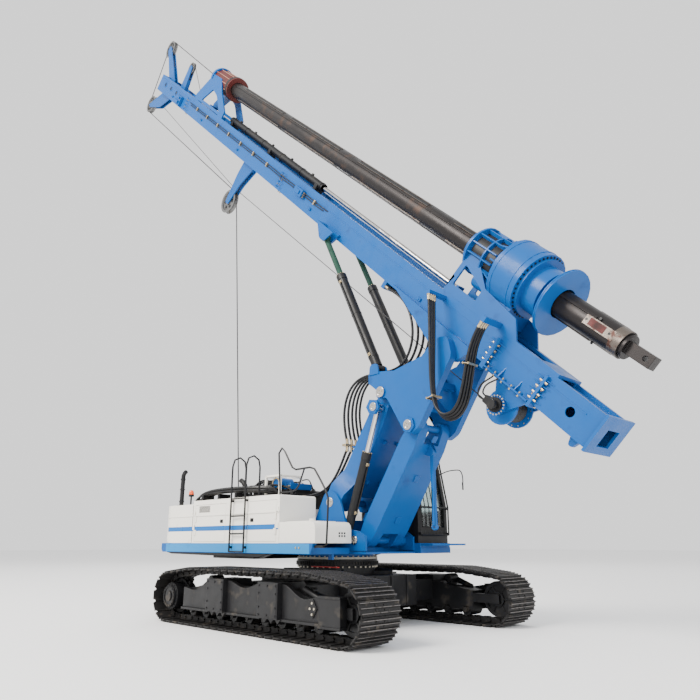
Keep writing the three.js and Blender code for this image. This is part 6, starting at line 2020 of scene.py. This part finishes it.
# ---------------------------------------------------------------- rotary drive
@dataclass
class Drive(Assembly):
    """Bolt rings, spokes, gussets and neck shade of the rotary drive."""

    axis: float = 0.92
    housing: float = 0.56
    shield: float = 0.55

    def build(self) -> None:
        """Makes all of the drive's details."""
        body = "drive_carriage"
        bolts = self.on_mast()
        for s, up, radius, count, size in ((2.30, -1, 0.515, 40, 0.017), (2.30, -1, 0.42, 32, 0.015),
                                           (3.64, 1, 0.405, 24, 0.012), (2.86, 1, 0.44, 20, 0.014)):
            bolts.bolts(circle((self.axis, 0, s), (0, 0, up), radius, count), (0, 0, up), size, 0.016)
        bolts.piece("drive_bolts", BLACK, body)
        rings = self.on_mast()
        for s in (2.40, 2.78):
            rings.ring((self.axis, 0, s), (0, 0, 1), self.housing + 0.006, self.housing - 0.01, 0.03, 56)
        rings.ring((self.axis, 0, 1.80), (0, 0, 1), self.shield + 0.004, self.shield - 0.03, 0.02, 56)
        for k in range(10):
            a = tau * (k + 0.5) / 10
            if cos(a) > -0.75:
                way = Vector((cos(a), sin(a), 0))
                foot = Vector((self.axis, 0, 2.87))
                rings.tube([foot + way * 0.50, foot + way * 0.44 + Vector((0, 0, 0.18))], 0.016, 6)
        for k in range(14):
            a = tau * k / 14
            rings.frame = self.places.about(self.axis, a)
            rings.box((0.335, -0.012, 3.02), (0.415, 0.012, 3.60))
        rings.frame = self.places.mast
        rings.ring((self.axis, 0, 3.24), (0, 0, 1), 0.405, 0.34, 0.03, 48)
        rings.piece("drive_rings", BLUE, body, bevel=0.003)
        shade = self.on_mast()
        shade.ring((self.axis, 0, 3.05), (0, 0, 1), 0.352, 0.342, 0.17, 48)
        shade.ring((self.axis, 0, 3.29), (0, 0, 1), 0.352, 0.342, 0.28, 48)
        shade.piece("drive_neck_shade", BLACK, body)


# ---------------------------------------------------------------------- kelly
@dataclass
class Kelly(Assembly):
    """Ribs, bolts, drive keys and worn bands of the telescopic kelly bar."""

    axis: float = 0.92
    tube: float = 0.212
    collar: float = 0.305

    def build(self) -> None:
        """Makes all of the kelly bar's details."""
        ribs, bolts = self.on_mast(), self.on_mast()
        for k in range(12):
            a = tau * k / 12
            ribs.frame = self.places.about(self.axis, a)
            ribs.box((self.collar - 0.004, -0.010, 14.72), (self.collar + 0.018, 0.010, 15.74))
        ribs.piece("collar_ribs", RIB, "kelly_bar", bevel=0.004)
        ring = self.on_mast()
        ring.ring((self.axis, 0, 14.592), (0, 0, 1), 0.338, 0.22, 0.008, 48)
        ring.ring((self.axis, 0, 14.60), (0, 0, 1), 0.344, 0.30, 0.10, 48)
        ring.piece("collar_stop_ring", BLACK, "kelly_bar", bevel=0.003)
        for s, up in ((14.66, 1), (15.80, -1)):
            bolts.bolts(circle((self.axis, 0, s), (0, 0, up), 0.322, 24, 0.13), (0, 0, up), 0.009, 0.010)
        bolts.piece("collar_bolts", BOLT, "kelly_bar")
        worn, pads, holes = self.on_mast(), self.on_mast(), self.on_mast()
        worn.ring((self.axis, 0, 0.582), (0, 0, 1), self.tube + 0.002, self.tube - 0.004, 0.16, 48)
        for turn in range(3):
            worn.frame = pads.frame = holes.frame = self.places.about(self.axis, tau * turn / 3 + 0.62)
            worn.box((self.tube - 0.02, -0.072, 0.70), (self.tube + 0.001, 0.072, 1.22))
            pads.box((self.tube - 0.02, -0.056, 0.86), (self.tube + 0.004, 0.056, 1.14))
            # Black plugs for the lock holes: painted shade inside the holes.
            for y, s in ((0.0, 0.78), (0.0, 1.19), (0.11, 1.02)):
                holes.rod((self.tube - 0.03, y, s), (self.tube + 0.003, y, s), 0.020, 14)
        worn.piece("kelly_worn_bands", WORN, "kelly_bar")
        pads.piece("kelly_lock_pads", RUST, "kelly_bar")
        holes.piece("kelly_lock_hole_shade", BLACK, "kelly_bar")
        keys, slots = Shape(), Shape()
        for turn in range(3):
            keys.frame = slots.frame = self.places.about(self.axis, tau * turn / 3 + 1.45)
            for s in (1.9, 5.2, 8.5, 11.4):
                for y in (-0.045, 0.045):
                    keys.box((self.tube - 0.012, y - 0.008, s), (self.tube + 0.007, y + 0.008, s + 2.5))
                # Black strip between each pair of keys: painted shade in the channel between them.
                slots.box((self.tube - 0.012, -0.036, s + 0.02), (self.tube + 0.002, 0.036, s + 2.48))
        keys.piece("kelly_drive_keys", WORN, "kelly_bar")
        slots.piece("kelly_key_bed_shade", BLACK, "kelly_bar")


# ------------------------------------------------------------------------ run
def main() -> None:
    """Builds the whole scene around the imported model."""
    logging.basicConfig(level=logging.INFO, format="%(message)s")
    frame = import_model()
    studio = Studio()
    studio.camera()
    places = Places.read(frame["joints"])
    Hoses(places).build()
    dress(frame["nodes"], frame["record"])
    Ropes(places).build()
    for side, name in zip(SIDES, ("right", "left")):
        Crawler(places, name, side).build()
    for group in (Slewing, UpperBody, Cab, Linkage, Mast, Drive, Kelly):
        group(places).build()
    studio.floor()
    studio.lights()
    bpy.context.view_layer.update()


if __name__ == "__main__":
    main()
